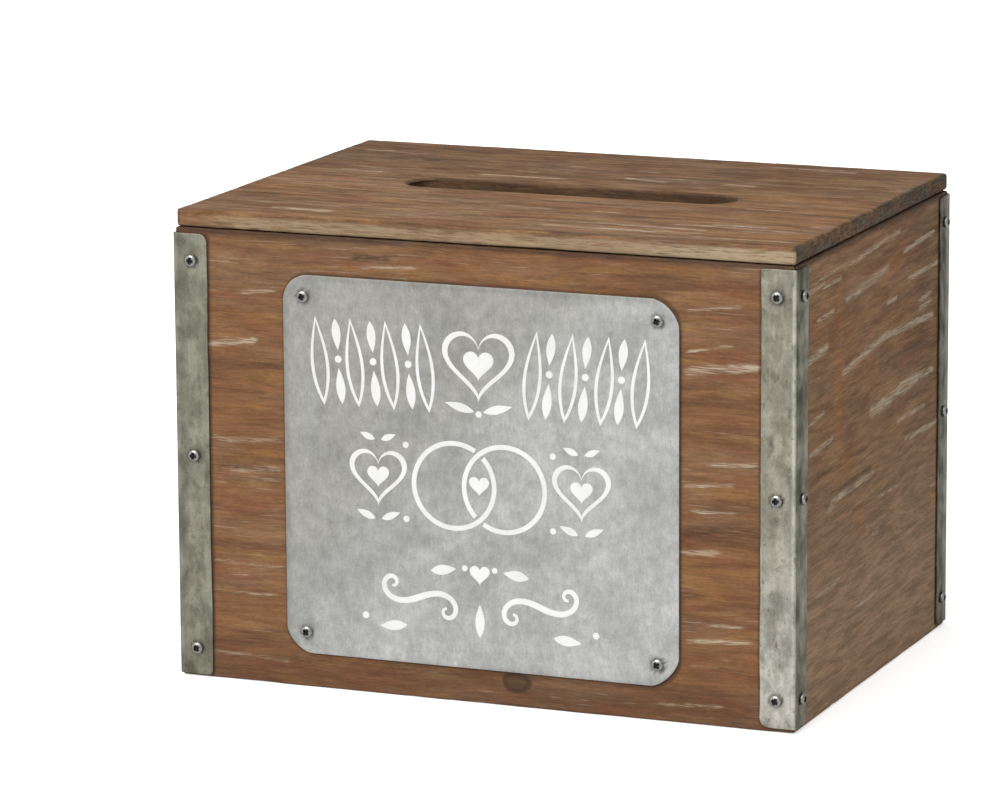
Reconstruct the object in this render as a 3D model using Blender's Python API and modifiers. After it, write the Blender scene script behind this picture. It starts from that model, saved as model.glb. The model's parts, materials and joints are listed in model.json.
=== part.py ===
"""Wedding card box: a wooden box with a slotted, hinged lid, folded sheet corners and a sign plate.

The box stands on z = 0 with its centre on the z axis. Its front, which carries the sign plate, faces -Y.
The lid turns about a line along X through the pins of the two hinges on the back wall.
"""

import math

import bmesh
import bpy
from mathutils import Matrix, Vector

# ---------------------------------------------------------------- driving dimensions, in metres
BODY_WIDTH = 0.306          # across the front, wood only
BODY_DEPTH = 0.2225         # front to back, wood only
BODY_HEIGHT = 0.215         # walls, without the lid
BOARD = 0.009               # thickness of the wall boards
BOTTOM_BOARD = 0.005
LID_WIDTH = 0.305
LID_DEPTH = 0.2225
LID_BOARD = 0.0081
LID_SHIFT = 0.0003          # the lid sits this far to the right
LID_SEAM = 0.0005           # gap between the walls and the closed lid
FIT_GAP = 0.0003            # gap between pieces that rest on each other

SLOT_LENGTH = 0.166
SLOT_WIDTH = 0.026
SLOT_CENTRE = Vector((0.0015, -0.001))
SLOT_END_SHARE = 0.999      # radius of the slot's ends as a share of half its width

SHEET = 0.0008              # thickness of the corner brackets
BRACKET_NARROW_LEG = 0.0155
BRACKET_WIDE_LEG = 0.0176
BRACKET_BEND_RADIUS = 0.0016
BRACKET_CORNER_RADIUS = 0.003
BRACKET_LENGTH = 0.2114
BRACKET_LIFTS = {-1: 0.001, 1: 0.0021}      # of the left and right brackets' lower ends above the floor
BRACKET_WIDE_INSET = 0.0095         # from the bracket's outer corner to the wide leg's screws
BRACKET_NARROW_INSET = 0.0083       # and to the narrow leg's screws
BRACKET_SCREW_END = 0.0128          # from a bracket's end to its first screw

SIGN_WIDTH = 0.1957
SIGN_HEIGHT = 0.180
SIGN_SHEET = 0.001
SIGN_CORNER_RADIUS = 0.0127
SIGN_CENTRE_HEIGHT = 0.1065
SIGN_SCREW_INSET = 0.0102

SCREW_HEAD_RADIUS = 0.0028
SCREW_HEAD_HEIGHT = 0.0017
SCREW_SHANK_RADIUS = 0.0012
SCREW_LENGTH = 0.006        # under the head
CROWN_RADIUS = 0.72         # where a screw head's flat top ends, as a share of its radius
CROWN_HEIGHT = 0.9          # and how high its crown is there, as a share of its height
RIM_HEIGHT = 0.35           # height of the head's upright rim, as a share of its height
RECESS_ARM = 0.55           # reach of the cross recess, as a share of the head's radius
RECESS_HALF_WIDTH = 0.13    # half width of its arms, as a share of the head's radius
PILOT_DEPTH = 0.0052        # of the blind hole in the wood
DRILL_CLEARANCE = 0.0003    # between a screw's shank and its hole, on the radius

HINGE_LENGTH = 0.0254
HINGE_BARREL_RADIUS = 0.0021
HINGE_PIN_RADIUS = 0.0008
HINGE_PIN_CLEARANCE = 0.00008
HINGE_PIN_HEAD_RADIUS = 0.0013
HINGE_PIN_HEAD = 0.0006
HINGE_PIN_CROWN_RADIUS = 0.7        # where the pin head's flat end starts, as a share of its radius
HINGE_PIN_CROWN_HEIGHT = 0.85       # and how far out its crown is there, as a share of its length
HINGE_PIN_RIM = 0.4         # length of the pin head's plain rim, as a share of its length
HINGE_LEAF = 0.0009         # thickness of a leaf
HINGE_LEAF_REACH = 0.0080   # from the pin's axis to a leaf's free edge
HINGE_LEAF_START = 0.0025   # from the pin's axis to the plain edge between the knuckles
HINGE_TAB_START = 0.0005    # a knuckle's tab runs this close to the pin's axis
HINGE_TAB_RELIEF = 0.0002   # the plain edge is cut back this much more beside a tab
HINGE_KNUCKLE_HALF = 0.00415        # half length of the lid leaf's middle knuckle
HINGE_KNUCKLE_GAP = 0.00025
HINGE_KNUCKLE_STEP = 0.0001         # a knuckle stands this far past each side of its tab
HINGE_CORNER_RADIUS = 0.0012
HINGE_SCREW_REACH = 0.0052  # from the pin's axis to the leaf's screws
HINGE_SCREW_SPREAD = 0.0078         # from the hinge's middle to each screw
HINGE_SCREW_HEAD_RADIUS = 0.0016
HINGE_SCREW_HEAD = 0.00075
HINGE_SCREW_SHANK = 0.0007
HINGE_SCREW_LENGTH = 0.0062
HINGE_SCREW_LIFT = 0.00025  # under the head of a hinge screw
HINGE_PILOT_DEPTH = 0.0056
HINGE_SPACING = 0.1525      # between the middles of the two hinges

BOARD_EDGE_RADIUS = 0.0008
WELD_DISTANCE = 0.000001
FLAT_ANGLE = math.radians(0.5)      # neighbouring faces flatter than this are one face
SCREW_STEPS = 10
HOLE_STEPS = 10
PIN_STEPS = 12
BARREL_STEPS = 16
ARC_STEPS = 4

# ---------------------------------------------------------------- worked out from the above
SHEET_FACE_X = BODY_WIDTH / 2 + FIT_GAP + SHEET     # outer face of the brackets' side legs
SHEET_FACE_Y = BODY_DEPTH / 2 + FIT_GAP + SHEET     # outer face of their front and back legs
BRACKET_SCREW_OFFSETS = {   # from the bracket's middle
    "bottom": BRACKET_SCREW_END - BRACKET_LENGTH / 2,
    "middle": 0.0,
    "top": BRACKET_LENGTH / 2 - BRACKET_SCREW_END,
}
SIGN_SCREW_X = SIGN_WIDTH / 2 - SIGN_SCREW_INSET
SIGN_SCREW_Z = SIGN_HEIGHT / 2 - SIGN_SCREW_INSET
LID_UNDERSIDE = BODY_HEIGHT + LID_SEAM
HINGE_AXIS_Y = BODY_DEPTH / 2 + FIT_GAP + HINGE_BARREL_RADIUS
HINGE_AXIS_Z = BODY_HEIGHT + LID_SEAM / 2
HINGE_X = {"left": -HINGE_SPACING / 2, "right": HINGE_SPACING / 2}

FRONT = Vector((0, -1, 0))
BACK = Vector((0, 1, 0))
LEFT = Vector((-1, 0, 0))
RIGHT = Vector((1, 0, 0))


# ---------------------------------------------------------------- scene, materials and placing
def clear_scene():
    """Remove whatever the file opened with."""
    for item in list(bpy.data.objects):
        bpy.data.objects.remove(item, do_unlink=True)


def make_collection(name):
    """Add a collection to the scene."""
    collection = bpy.data.collections.new(name)
    bpy.context.scene.collection.children.link(collection)
    return collection


def make_material(name, colour, roughness, metallic):
    """Principled material of one kind of piece."""
    material = bpy.data.materials.new(name)
    material.use_nodes = True
    shader = material.node_tree.nodes["Principled BSDF"]
    shader.inputs["Base Color"].default_value = (*colour, 1.0)
    shader.inputs["Roughness"].default_value = roughness
    shader.inputs["Metallic"].default_value = metallic
    material.diffuse_color = (*colour, 1.0)
    return material


def make_empty(name, location):
    """Empty that carries the pieces of one body."""
    empty = bpy.data.objects.new(name, None)
    empty.location = location
    empty.empty_display_size = BOARD
    PARTS.objects.link(empty)
    return empty


def add_part(name, mesh, material, carrier, location, rotation=None):
    """Object for one piece, at a place in the box's frame, carried by an empty."""
    if not mesh.materials:
        mesh.materials.append(material)
    part = bpy.data.objects.new(name, mesh)
    PARTS.objects.link(part)
    part.parent = carrier
    part.location = Vector(location) - carrier.location
    if rotation is not None:
        part.rotation_euler = rotation.to_euler()
    return part


def add_cutter(name, mesh, location=(0, 0, 0)):
    """Wire-displayed object that only cuts."""
    cutter = bpy.data.objects.new(name, mesh)
    CUTTERS.objects.link(cutter)
    cutter.location = location
    cutter.hide_render = True
    cutter.display_type = "WIRE"
    return cutter


def add_boolean(part, cutter, operation="DIFFERENCE"):
    """Cut a piece with a cutter, or join the two."""
    modifier = part.modifiers.new(cutter.name, "BOOLEAN")
    modifier.operation = operation
    modifier.solver = "EXACT"
    modifier.object = cutter


def add_bevel(part, width, segments=2):
    """Round a piece's edges."""
    modifier = part.modifiers.new("eased_edges", "BEVEL")
    modifier.width = width
    modifier.segments = segments
    modifier.limit_method = "ANGLE"


# ---------------------------------------------------------------- meshes
def finish_mesh(bm, name):
    """Turn an edit mesh into a mesh of its own."""
    mesh = bpy.data.meshes.new(name)
    bm.to_mesh(mesh)
    bm.free()
    return mesh


def evaluated_mesh(source, name):
    """Copy an object's mesh as its modifiers leave it, and remove the object."""
    depsgraph = bpy.context.evaluated_depsgraph_get()
    mesh = bpy.data.meshes.new_from_object(source.evaluated_get(depsgraph))
    mesh.name = name
    bpy.data.objects.remove(source, do_unlink=True)
    return mesh


def box_mesh(name, size):
    """Box centred on its origin."""
    bm = bmesh.new()
    bmesh.ops.create_cube(bm, size=1.0, matrix=Matrix.Diagonal((*size, 1.0)))
    return finish_mesh(bm, name)


def facing_matrix(location, facing):
    """Frame whose z axis points along facing."""
    return Matrix.Translation(location) @ facing.to_track_quat("Z", "Y").to_matrix().to_4x4()


def add_cylinder(bm, location, facing, radius, length, steps):
    """Cylinder centred on a point, with its axis along facing."""
    matrix = facing_matrix(location, facing)
    bmesh.ops.create_cone(bm, cap_ends=True, segments=steps, radius1=radius, radius2=radius,
                          depth=length, matrix=matrix)


def arc_points(centre, radius, start, sweep, steps):
    """Points along an arc, both ends included, angles in radians."""
    points = []
    for step in range(steps + 1):
        angle = start + sweep * step / steps
        points.append((centre[0] + radius * math.cos(angle), centre[1] + radius * math.sin(angle)))
    return points


def rounded_outline(low, high, radii, steps=ARC_STEPS):
    """Rectangle with a radius at each corner, in the order high-high, low-high, low-low, high-low."""
    corners = [(high[0], high[1]), (low[0], high[1]), (low[0], low[1]), (high[0], low[1])]
    inward = [(-1, -1), (1, -1), (1, 1), (-1, 1)]
    points = []
    for quarter, (corner, way, radius) in enumerate(zip(corners, inward, radii)):
        centre = (corner[0] + way[0] * radius, corner[1] + way[1] * radius)
        points += arc_points(centre, radius, quarter * math.pi / 2, math.pi / 2, steps)
    return points


def circle_outline(centre, radius, start=0.0):
    """Regular polygon for a round hole, with its first corner at an angle."""
    return arc_points(centre, radius, start, 2 * math.pi, HOLE_STEPS)[:-1]


def cross_outline(arm, half_width):
    """Plus shape: three corners for each of its four arms."""
    points = []
    for quarter in range(4):
        turn = Matrix.Rotation(quarter * math.pi / 2, 2)
        for corner in ((arm, -half_width), (arm, half_width), (half_width, half_width)):
            points.append(tuple(turn @ Vector(corner)))
    return points


def flat_mesh(name, outlines, thickness):
    """Flat plate in the xy plane: the first outline is its edge and the others are holes."""
    curve = bpy.data.curves.new(name, "CURVE")
    curve.dimensions = "2D"
    curve.fill_mode = "BOTH"
    curve.extrude = thickness / 2
    for outline in outlines:
        spline = curve.splines.new("POLY")
        spline.points.add(len(outline) - 1)
        for point, (x, y) in zip(spline.points, outline):
            point.co = (x, y, 0, 1)
        spline.use_cyclic_u = True
    blank = bpy.data.objects.new(name, curve)
    CUTTERS.objects.link(blank)
    mesh = evaluated_mesh(blank, name)
    bm = bmesh.new()
    bm.from_mesh(mesh)
    bpy.data.meshes.remove(mesh)
    bmesh.ops.remove_doubles(bm, verts=bm.verts, dist=WELD_DISTANCE)
    bmesh.ops.dissolve_limit(bm, angle_limit=FLAT_ANGLE, verts=bm.verts, edges=bm.edges)
    bmesh.ops.recalc_face_normals(bm, faces=bm.faces)
    return finish_mesh(bm, name)


def turned_mesh(name, profile, steps):
    """Turn a profile of (radius, height) points, which runs from the top down, about the z axis."""
    mesh = bpy.data.meshes.new(name + "_profile")
    edges = [(index, index + 1) for index in range(len(profile) - 1)]
    mesh.from_pydata([(radius, 0, height) for radius, height in profile], edges, [])
    blank = bpy.data.objects.new(name, mesh)
    CUTTERS.objects.link(blank)
    modifier = blank.modifiers.new("turn", "SCREW")
    modifier.steps = steps
    modifier.render_steps = steps
    modifier.use_merge_vertices = True
    modifier.merge_threshold = WELD_DISTANCE
    return evaluated_mesh(blank, name)


def smooth(mesh):
    """Shade a round piece smooth and keep its real edges sharp."""
    mesh.shade_smooth()
    mesh.set_sharp_from_angle(angle=math.radians(40))


# ---------------------------------------------------------------- wood
def wall_mesh(name, length):
    """Wall board lying along x with mitred ends and its outer face at y = 0, towards -y."""
    setback = FIT_GAP / math.sqrt(2)
    outer = length / 2 - setback
    inner = outer - BOARD
    plan = [(-outer, 0), (outer, 0), (inner, BOARD), (-inner, BOARD)]
    return flat_mesh(name, [plan], BODY_HEIGHT)


def pilot_holes(name, places, facing, radius, depth):
    """Cutter for blind holes whose mouths are at the given places on a face."""
    bm = bmesh.new()
    for place in places:
        add_cylinder(bm, place, facing, radius, 2 * depth, HOLE_STEPS)
    return add_cutter(name, finish_mesh(bm, name))


def bracket_middle(x_side):
    """Height of the middle of the brackets on the left (-1) or right (1)."""
    return BRACKET_LIFTS[x_side] + BRACKET_LENGTH / 2


def bracket_pilot_places(facing):
    """Mouths of the six bracket screw holes in the wall that faces a direction."""
    places = []
    for offset in BRACKET_SCREW_OFFSETS.values():
        for side in (-1, 1):
            if facing.x:
                across = side * (SHEET_FACE_Y - BRACKET_NARROW_INSET)
                height = bracket_middle(facing.x) + offset
                places.append(Vector((facing.x * BODY_WIDTH / 2, across, height)))
            else:
                across = side * (SHEET_FACE_X - BRACKET_WIDE_INSET)
                height = bracket_middle(side) + offset
                places.append(Vector((across, facing.y * BODY_DEPTH / 2, height)))
    return places


def sign_screw_places(y):
    """Centres of the sign plate's screws on a plane across the front."""
    places = {}
    for level, up in (("bottom", -1), ("top", 1)):
        for side, across in (("left", -1), ("right", 1)):
            z = SIGN_CENTRE_HEIGHT + up * SIGN_SCREW_Z
            places[f"{level}_{side}"] = Vector((across * SIGN_SCREW_X, y, z))
    return places


def hinge_screw_places(up, y):
    """Centres of the hinge screws above (up = 1) or below (up = -1) the pins, by hinge and side."""
    places = {}
    for hinge, middle in HINGE_X.items():
        for side, across in (("left", -1), ("right", 1)):
            x = middle + across * HINGE_SCREW_SPREAD
            places[hinge, side] = Vector((x, y, HINGE_AXIS_Z + up * HINGE_SCREW_REACH))
    return places


def add_walls(carrier, material):
    """Four mitred wall boards with the blind holes for their screws."""
    walls = {
        "front_panel": (FRONT, BODY_WIDTH, 0),
        "right_panel": (RIGHT, BODY_DEPTH, math.pi / 2),
        "back_panel": (BACK, BODY_WIDTH, math.pi),
        "left_panel": (LEFT, BODY_DEPTH, -math.pi / 2),
    }
    screw_hole = SCREW_SHANK_RADIUS + DRILL_CLEARANCE
    for name, (facing, length, turn) in walls.items():
        reach = BODY_WIDTH / 2 if facing.x else BODY_DEPTH / 2
        place = facing * reach + Vector((0, 0, BODY_HEIGHT / 2))
        rotation = Matrix.Rotation(turn, 3, "Z")
        wall = add_part(name, wall_mesh(name, length), material, carrier, place, rotation)
        add_bevel(wall, BOARD_EDGE_RADIUS)
        places = bracket_pilot_places(facing)
        if facing == FRONT:
            places += list(sign_screw_places(-BODY_DEPTH / 2).values())
        add_boolean(wall, pilot_holes(name + "_pilots", places, facing, screw_hole, PILOT_DEPTH))
        if facing == BACK:
            places = hinge_screw_places(-1, BODY_DEPTH / 2).values()
            hole = HINGE_SCREW_SHANK + DRILL_CLEARANCE
            add_boolean(wall, pilot_holes("back_hinge_pilots", places, facing, hole, HINGE_PILOT_DEPTH))


def add_bottom(carrier, material):
    """Bottom board between the walls, flush with their lower edges."""
    inset = 2 * (BOARD + FIT_GAP)
    size = (BODY_WIDTH - inset, BODY_DEPTH - inset, BOTTOM_BOARD)
    bottom = add_part("bottom_panel", box_mesh("bottom_panel", size), material, carrier,
                      (0, 0, BOTTOM_BOARD / 2))
    add_bevel(bottom, BOARD_EDGE_RADIUS / 2, segments=1)


def add_lid(carrier, material):
    """Lid board with the card slot and the blind holes for the hinge screws."""
    centre = Vector((LID_SHIFT, 0, LID_UNDERSIDE + LID_BOARD / 2))
    size = (LID_WIDTH, LID_DEPTH, LID_BOARD)
    lid = add_part("lid_panel", box_mesh("lid_panel", size), material, carrier, centre)
    add_bevel(lid, BOARD_EDGE_RADIUS)
    half_slot = Vector((SLOT_LENGTH / 2, SLOT_WIDTH / 2))
    low = SLOT_CENTRE - half_slot
    high = SLOT_CENTRE + half_slot
    end_radius = SLOT_WIDTH / 2 * SLOT_END_SHARE
    outline = rounded_outline(low, high, [end_radius] * 4, steps=2 * ARC_STEPS)
    slot = add_cutter("card_slot", flat_mesh("card_slot", [outline], 2 * LID_BOARD), centre)
    add_boolean(lid, slot)
    places = hinge_screw_places(1, LID_DEPTH / 2).values()
    hole = HINGE_SCREW_SHANK + DRILL_CLEARANCE
    add_boolean(lid, pilot_holes("lid_hinge_pilots", places, BACK, hole, HINGE_PILOT_DEPTH))


# ---------------------------------------------------------------- sheet metal
def bracket_mesh(name, leg_x, leg_y, inset_x, inset_y):
    """Sheet folded along z about a rounded corner at the origin, with one leg along +x and one along +y.

    The holes of each leg stand at its inset from the outer corner.
    """
    arc_length = (BRACKET_BEND_RADIUS - SHEET / 2) * math.pi / 2
    half_arc = arc_length / 2
    low = (-(leg_x - BRACKET_BEND_RADIUS) - half_arc, -BRACKET_LENGTH / 2)
    high = (leg_y - BRACKET_BEND_RADIUS + half_arc, BRACKET_LENGTH / 2)
    outlines = [rounded_outline(low, high, [BRACKET_CORNER_RADIUS] * 4)]
    for offset in BRACKET_SCREW_OFFSETS.values():
        for side, inset in ((-1, inset_x), (1, inset_y)):
            centre = (side * (inset - BRACKET_BEND_RADIUS + half_arc), offset)
            outlines.append(circle_outline(centre, SCREW_SHANK_RADIUS + DRILL_CLEARANCE))
    mesh = flat_mesh(name, outlines, SHEET)
    bm = bmesh.new()
    bm.from_mesh(mesh)
    bpy.data.meshes.remove(mesh)
    for step in range(ARC_STEPS + 1):
        fold_line = Vector((-half_arc + arc_length * step / ARC_STEPS, 0, 0))
        geometry = bm.verts[:] + bm.edges[:] + bm.faces[:]
        bmesh.ops.bisect_plane(bm, geom=geometry, dist=WELD_DISTANCE, plane_co=fold_line, plane_no=RIGHT)
    for vert in bm.verts:
        vert.co = folded_point(vert.co, half_arc)
    return finish_mesh(bm, name)


def folded_point(flat, half_arc):
    """Place a point of the flat blank on the folded sheet."""
    along, height, depth = flat.x, flat.y, flat.z + SHEET / 2
    radius = BRACKET_BEND_RADIUS
    if along <= -half_arc:
        return Vector((radius - half_arc - along, depth, height))
    if along >= half_arc:
        return Vector((depth, radius + along - half_arc, height))
    angle = (along + half_arc) / (2 * half_arc) * math.pi / 2
    reach = radius - depth
    return Vector((radius - reach * math.sin(angle), radius - reach * math.cos(angle), height))


def add_brackets(carrier, material):
    """Four corner brackets with their wide legs on the front and back walls."""
    corners = {
        "front_left": (-1, -1, 0),
        "front_right": (1, -1, math.pi / 2),
        "back_right": (1, 1, math.pi),
        "back_left": (-1, 1, -math.pi / 2),
    }
    wide_first = bracket_mesh("wide_first_bracket", BRACKET_WIDE_LEG, BRACKET_NARROW_LEG,
                              BRACKET_WIDE_INSET, BRACKET_NARROW_INSET)
    narrow_first = bracket_mesh("narrow_first_bracket", BRACKET_NARROW_LEG, BRACKET_WIDE_LEG,
                                BRACKET_NARROW_INSET, BRACKET_WIDE_INSET)
    for corner, (x_side, y_side, turn) in corners.items():
        mesh = wide_first if x_side == y_side else narrow_first
        place = (x_side * SHEET_FACE_X, y_side * SHEET_FACE_Y, bracket_middle(x_side))
        add_part(corner + "_bracket", mesh, material, carrier, place, Matrix.Rotation(turn, 3, "Z"))


def add_sign_plate(carrier, material):
    """Sign plate on the front wall."""
    half = Vector((SIGN_WIDTH / 2, SIGN_HEIGHT / 2))
    outlines = [rounded_outline(-half, half, [SIGN_CORNER_RADIUS] * 4, steps=2 * ARC_STEPS)]
    for across in (-1, 1):
        for up in (-1, 1):
            centre = (across * SIGN_SCREW_X, up * SIGN_SCREW_Z)
            outlines.append(circle_outline(centre, SCREW_SHANK_RADIUS + DRILL_CLEARANCE))
    mesh = flat_mesh("sign_plate", outlines, SIGN_SHEET)
    middle = -(BODY_DEPTH / 2 + FIT_GAP + SIGN_SHEET / 2)
    upright = Matrix.Rotation(math.pi / 2, 3, "X")
    add_part("sign_plate", mesh, material, carrier, (0, middle, SIGN_CENTRE_HEIGHT), upright)


# ---------------------------------------------------------------- screws
def screw_mesh(name, head_radius, head_height, shank_radius, length):
    """Pan-head screw with a cross recess. The underside of its head is at z = 0 and it points down."""
    tip = 2 * shank_radius
    profile = [
        (0, head_height),
        (head_radius * CROWN_RADIUS, head_height * CROWN_HEIGHT),
        (head_radius, head_height * RIM_HEIGHT),
        (head_radius, 0),
        (shank_radius, 0),
        (shank_radius, tip - length),
        (0, -length),
    ]
    blank = bpy.data.objects.new(name, turned_mesh(name, profile, SCREW_STEPS))
    CUTTERS.objects.link(blank)
    outline = cross_outline(head_radius * RECESS_ARM, head_radius * RECESS_HALF_WIDTH)
    recess = flat_mesh(name + "_recess", [outline], head_height)
    cutter = add_cutter(name + "_recess", recess, (0, 0, head_height))
    add_boolean(blank, cutter)
    mesh = evaluated_mesh(blank, name)
    bpy.data.objects.remove(cutter, do_unlink=True)
    smooth(mesh)
    return mesh


def add_screw(name, mesh, material, carrier, seat, facing, turn):
    """Screw whose head's underside is at seat and whose head points along facing."""
    rotation = facing.to_track_quat("Z", "Y").to_matrix() @ Matrix.Rotation(turn, 3, "Z")
    add_part(name, mesh, material, carrier, seat, rotation)


def add_bracket_screws(mesh, carrier, material):
    """Three screws in each leg of each corner bracket."""
    turn = 0.0
    for y_name, y_side in (("front", -1), ("back", 1)):
        for x_name, x_side in (("left", -1), ("right", 1)):
            legs = {
                y_name: (Vector((0, y_side, 0)), x_side * (SHEET_FACE_X - BRACKET_WIDE_INSET),
                         y_side * (SHEET_FACE_Y + FIT_GAP)),
                x_name: (Vector((x_side, 0, 0)), x_side * (SHEET_FACE_X + FIT_GAP),
                         y_side * (SHEET_FACE_Y - BRACKET_NARROW_INSET)),
            }
            for leg, (facing, x, y) in legs.items():
                for level, offset in BRACKET_SCREW_OFFSETS.items():
                    name = f"{y_name}_{x_name}_bracket_{leg}_screw_{level}"
                    seat = (x, y, bracket_middle(x_side) + offset)
                    add_screw(name, mesh, material, carrier, seat, facing, turn)
                    turn += 1.0


def add_sign_screws(mesh, carrier, material):
    """One screw in each corner of the sign plate."""
    seat_y = -(BODY_DEPTH / 2 + FIT_GAP + SIGN_SHEET + FIT_GAP)
    for index, (corner, seat) in enumerate(sign_screw_places(seat_y).items()):
        add_screw(f"sign_plate_screw_{corner}", mesh, material, carrier, seat, FRONT, 0.5 + index)


# ---------------------------------------------------------------- hinges
def leaf_blank(name, step_x, end_reach, middle_reach):
    """Flat hinge leaf in the xy plane, with the pin's axis on y = 0.

    Its near edge lies at end_reach from the axis at both ends and at middle_reach between -step_x
    and step_x, with a slight relief beside each step.
    """
    half = HINGE_LENGTH / 2
    beside_step = end_reach + HINGE_TAB_RELIEF
    points = [
        (-half, end_reach),
        (-step_x, beside_step),
        (-step_x, middle_reach),
        (step_x, middle_reach),
        (step_x, beside_step),
        (half, end_reach),
    ]
    centre_x = half - HINGE_CORNER_RADIUS
    centre_y = HINGE_LEAF_REACH - HINGE_CORNER_RADIUS
    for side, start in ((1, 0), (-1, math.pi / 2)):
        centre = (side * centre_x, centre_y)
        points += arc_points(centre, HINGE_CORNER_RADIUS, start, math.pi / 2, ARC_STEPS)
    outlines = [points]
    hole = HINGE_SCREW_SHANK + DRILL_CLEARANCE
    for across, start in ((-1, 0.0), (1, math.pi / 4)):
        centre = (across * HINGE_SCREW_SPREAD, HINGE_SCREW_REACH)
        outlines.append(circle_outline(centre, hole, start))
    return flat_mesh(name, outlines, HINGE_LEAF)


def add_leaf(name, blank, material, carrier, axis_point, up, knuckles):
    """Hinge leaf with its knuckles rolled about the pin, reaching up (1) or down (-1) the wood."""
    stand_off = HINGE_LEAF / 2 - HINGE_BARREL_RADIUS
    upright = Matrix(((1, 0, 0, 0), (0, 0, -up, stand_off), (0, up, 0, 0), (0, 0, 0, 1)))
    blank.transform(upright)
    leaf = add_part(name, blank, material, carrier, axis_point)
    for index, (start, end) in enumerate(knuckles):
        bm = bmesh.new()
        middle = Vector(((start + end) / 2, 0, 0))
        add_cylinder(bm, middle, RIGHT, HINGE_BARREL_RADIUS, end - start, BARREL_STEPS)
        knuckle = add_cutter(f"{name}_knuckle_{index}", finish_mesh(bm, name), axis_point)
        add_boolean(leaf, knuckle, "UNION")
    bm = bmesh.new()
    bore_radius = HINGE_PIN_RADIUS + HINGE_PIN_CLEARANCE
    add_cylinder(bm, Vector((0, 0, 0)), RIGHT, bore_radius, 2 * HINGE_LENGTH, BARREL_STEPS)
    add_boolean(leaf, add_cutter(name + "_bore", finish_mesh(bm, name), axis_point))


def pin_mesh():
    """Hinge pin along z with a thin head at each end."""
    shank_end = HINGE_LENGTH / 2 + HINGE_KNUCKLE_STEP + FIT_GAP
    head_end = shank_end + HINGE_PIN_HEAD
    crown_start = shank_end + HINGE_PIN_HEAD * HINGE_PIN_CROWN_HEIGHT
    upper = [
        (0, head_end),
        (HINGE_PIN_HEAD_RADIUS * HINGE_PIN_CROWN_RADIUS, crown_start),
        (HINGE_PIN_HEAD_RADIUS, shank_end + HINGE_PIN_HEAD * HINGE_PIN_RIM),
        (HINGE_PIN_HEAD_RADIUS, shank_end),
        (HINGE_PIN_RADIUS, shank_end),
    ]
    lower = [(radius, -height) for radius, height in reversed(upper)]
    mesh = turned_mesh("hinge_pin", upper + lower, PIN_STEPS)
    smooth(mesh)
    return mesh


def add_hinges(box, lid, leaf_material, pin_material, screw_material, small_screw):
    """Two butt hinges with their leaves flat on the back of the box and of the lid."""
    middle = HINGE_KNUCKLE_HALF
    outer = middle + HINGE_KNUCKLE_GAP
    end = HINGE_LENGTH / 2 + HINGE_KNUCKLE_STEP
    pin = pin_mesh()
    for hinge, x in HINGE_X.items():
        axis_point = Vector((x, HINGE_AXIS_Y, HINGE_AXIS_Z))
        name = f"{hinge}_hinge_body_leaf"
        blank = leaf_blank(name, outer + HINGE_KNUCKLE_STEP, HINGE_TAB_START, HINGE_LEAF_START)
        add_leaf(name, blank, leaf_material, box, axis_point, -1, [(-end, -outer), (outer, end)])
        name = f"{hinge}_hinge_lid_leaf"
        blank = leaf_blank(name, middle - HINGE_KNUCKLE_STEP, HINGE_LEAF_START, HINGE_TAB_START)
        add_leaf(name, blank, leaf_material, lid, axis_point, 1, [(-middle, middle)])
        along_x = Matrix.Rotation(math.pi / 2, 3, "Y")
        add_part(f"{hinge}_hinge_pin", pin, pin_material, box, axis_point, along_x)
    seat_y = BODY_DEPTH / 2 + FIT_GAP + HINGE_LEAF + HINGE_SCREW_LIFT
    for body, carrier, up in (("body", box, -1), ("lid", lid, 1)):
        places = hinge_screw_places(up, seat_y).items()
        for index, ((hinge, side), seat) in enumerate(places):
            name = f"{hinge}_hinge_{body}_screw_{side}"
            add_screw(name, small_screw, screw_material, carrier, seat, BACK, 0.3 + index)


# ---------------------------------------------------------------- the box
def build():
    """Make every piece of the card box."""
    box = make_empty("box_carrier", (0, 0, 0))
    lid = make_empty("lid_axis", (0, HINGE_AXIS_Y, HINGE_AXIS_Z))

    wall_wood = make_material("wall_wood", (0.235, 0.105, 0.050), 0.75, 0.0)
    bottom_wood = make_material("bottom_wood", (0.200, 0.105, 0.055), 0.80, 0.0)
    lid_wood = make_material("lid_wood", (0.240, 0.130, 0.075), 0.75, 0.0)
    bracket_zinc = make_material("bracket_zinc", (0.300, 0.290, 0.240), 0.50, 0.9)
    sign_zinc = make_material("sign_zinc", (0.420, 0.435, 0.430), 0.50, 0.8)
    screw_steel = make_material("screw_steel", (0.600, 0.600, 0.600), 0.30, 1.0)
    hinge_steel = make_material("hinge_steel", (0.330, 0.310, 0.270), 0.40, 0.9)
    pin_steel = make_material("pin_steel", (0.550, 0.540, 0.500), 0.35, 1.0)

    add_walls(box, wall_wood)
    add_bottom(box, bottom_wood)
    add_lid(lid, lid_wood)
    add_brackets(box, bracket_zinc)
    add_sign_plate(box, sign_zinc)

    screw = screw_mesh("pan_head_screw", SCREW_HEAD_RADIUS, SCREW_HEAD_HEIGHT, SCREW_SHANK_RADIUS,
                       SCREW_LENGTH)
    add_bracket_screws(screw, box, screw_steel)
    add_sign_screws(screw, box, screw_steel)

    small_screw = screw_mesh("small_pan_head_screw", HINGE_SCREW_HEAD_RADIUS, HINGE_SCREW_HEAD,
                             HINGE_SCREW_SHANK, HINGE_SCREW_LENGTH)
    add_hinges(box, lid, hinge_steel, pin_steel, screw_steel, small_screw)


clear_scene()
PARTS = make_collection("wedding_card_box")
CUTTERS = make_collection("card_box_cutters")
build()
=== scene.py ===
import itertools
import json
import math

import bmesh
import bpy
import numpy as np
from mathutils import Matrix, Vector


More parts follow.
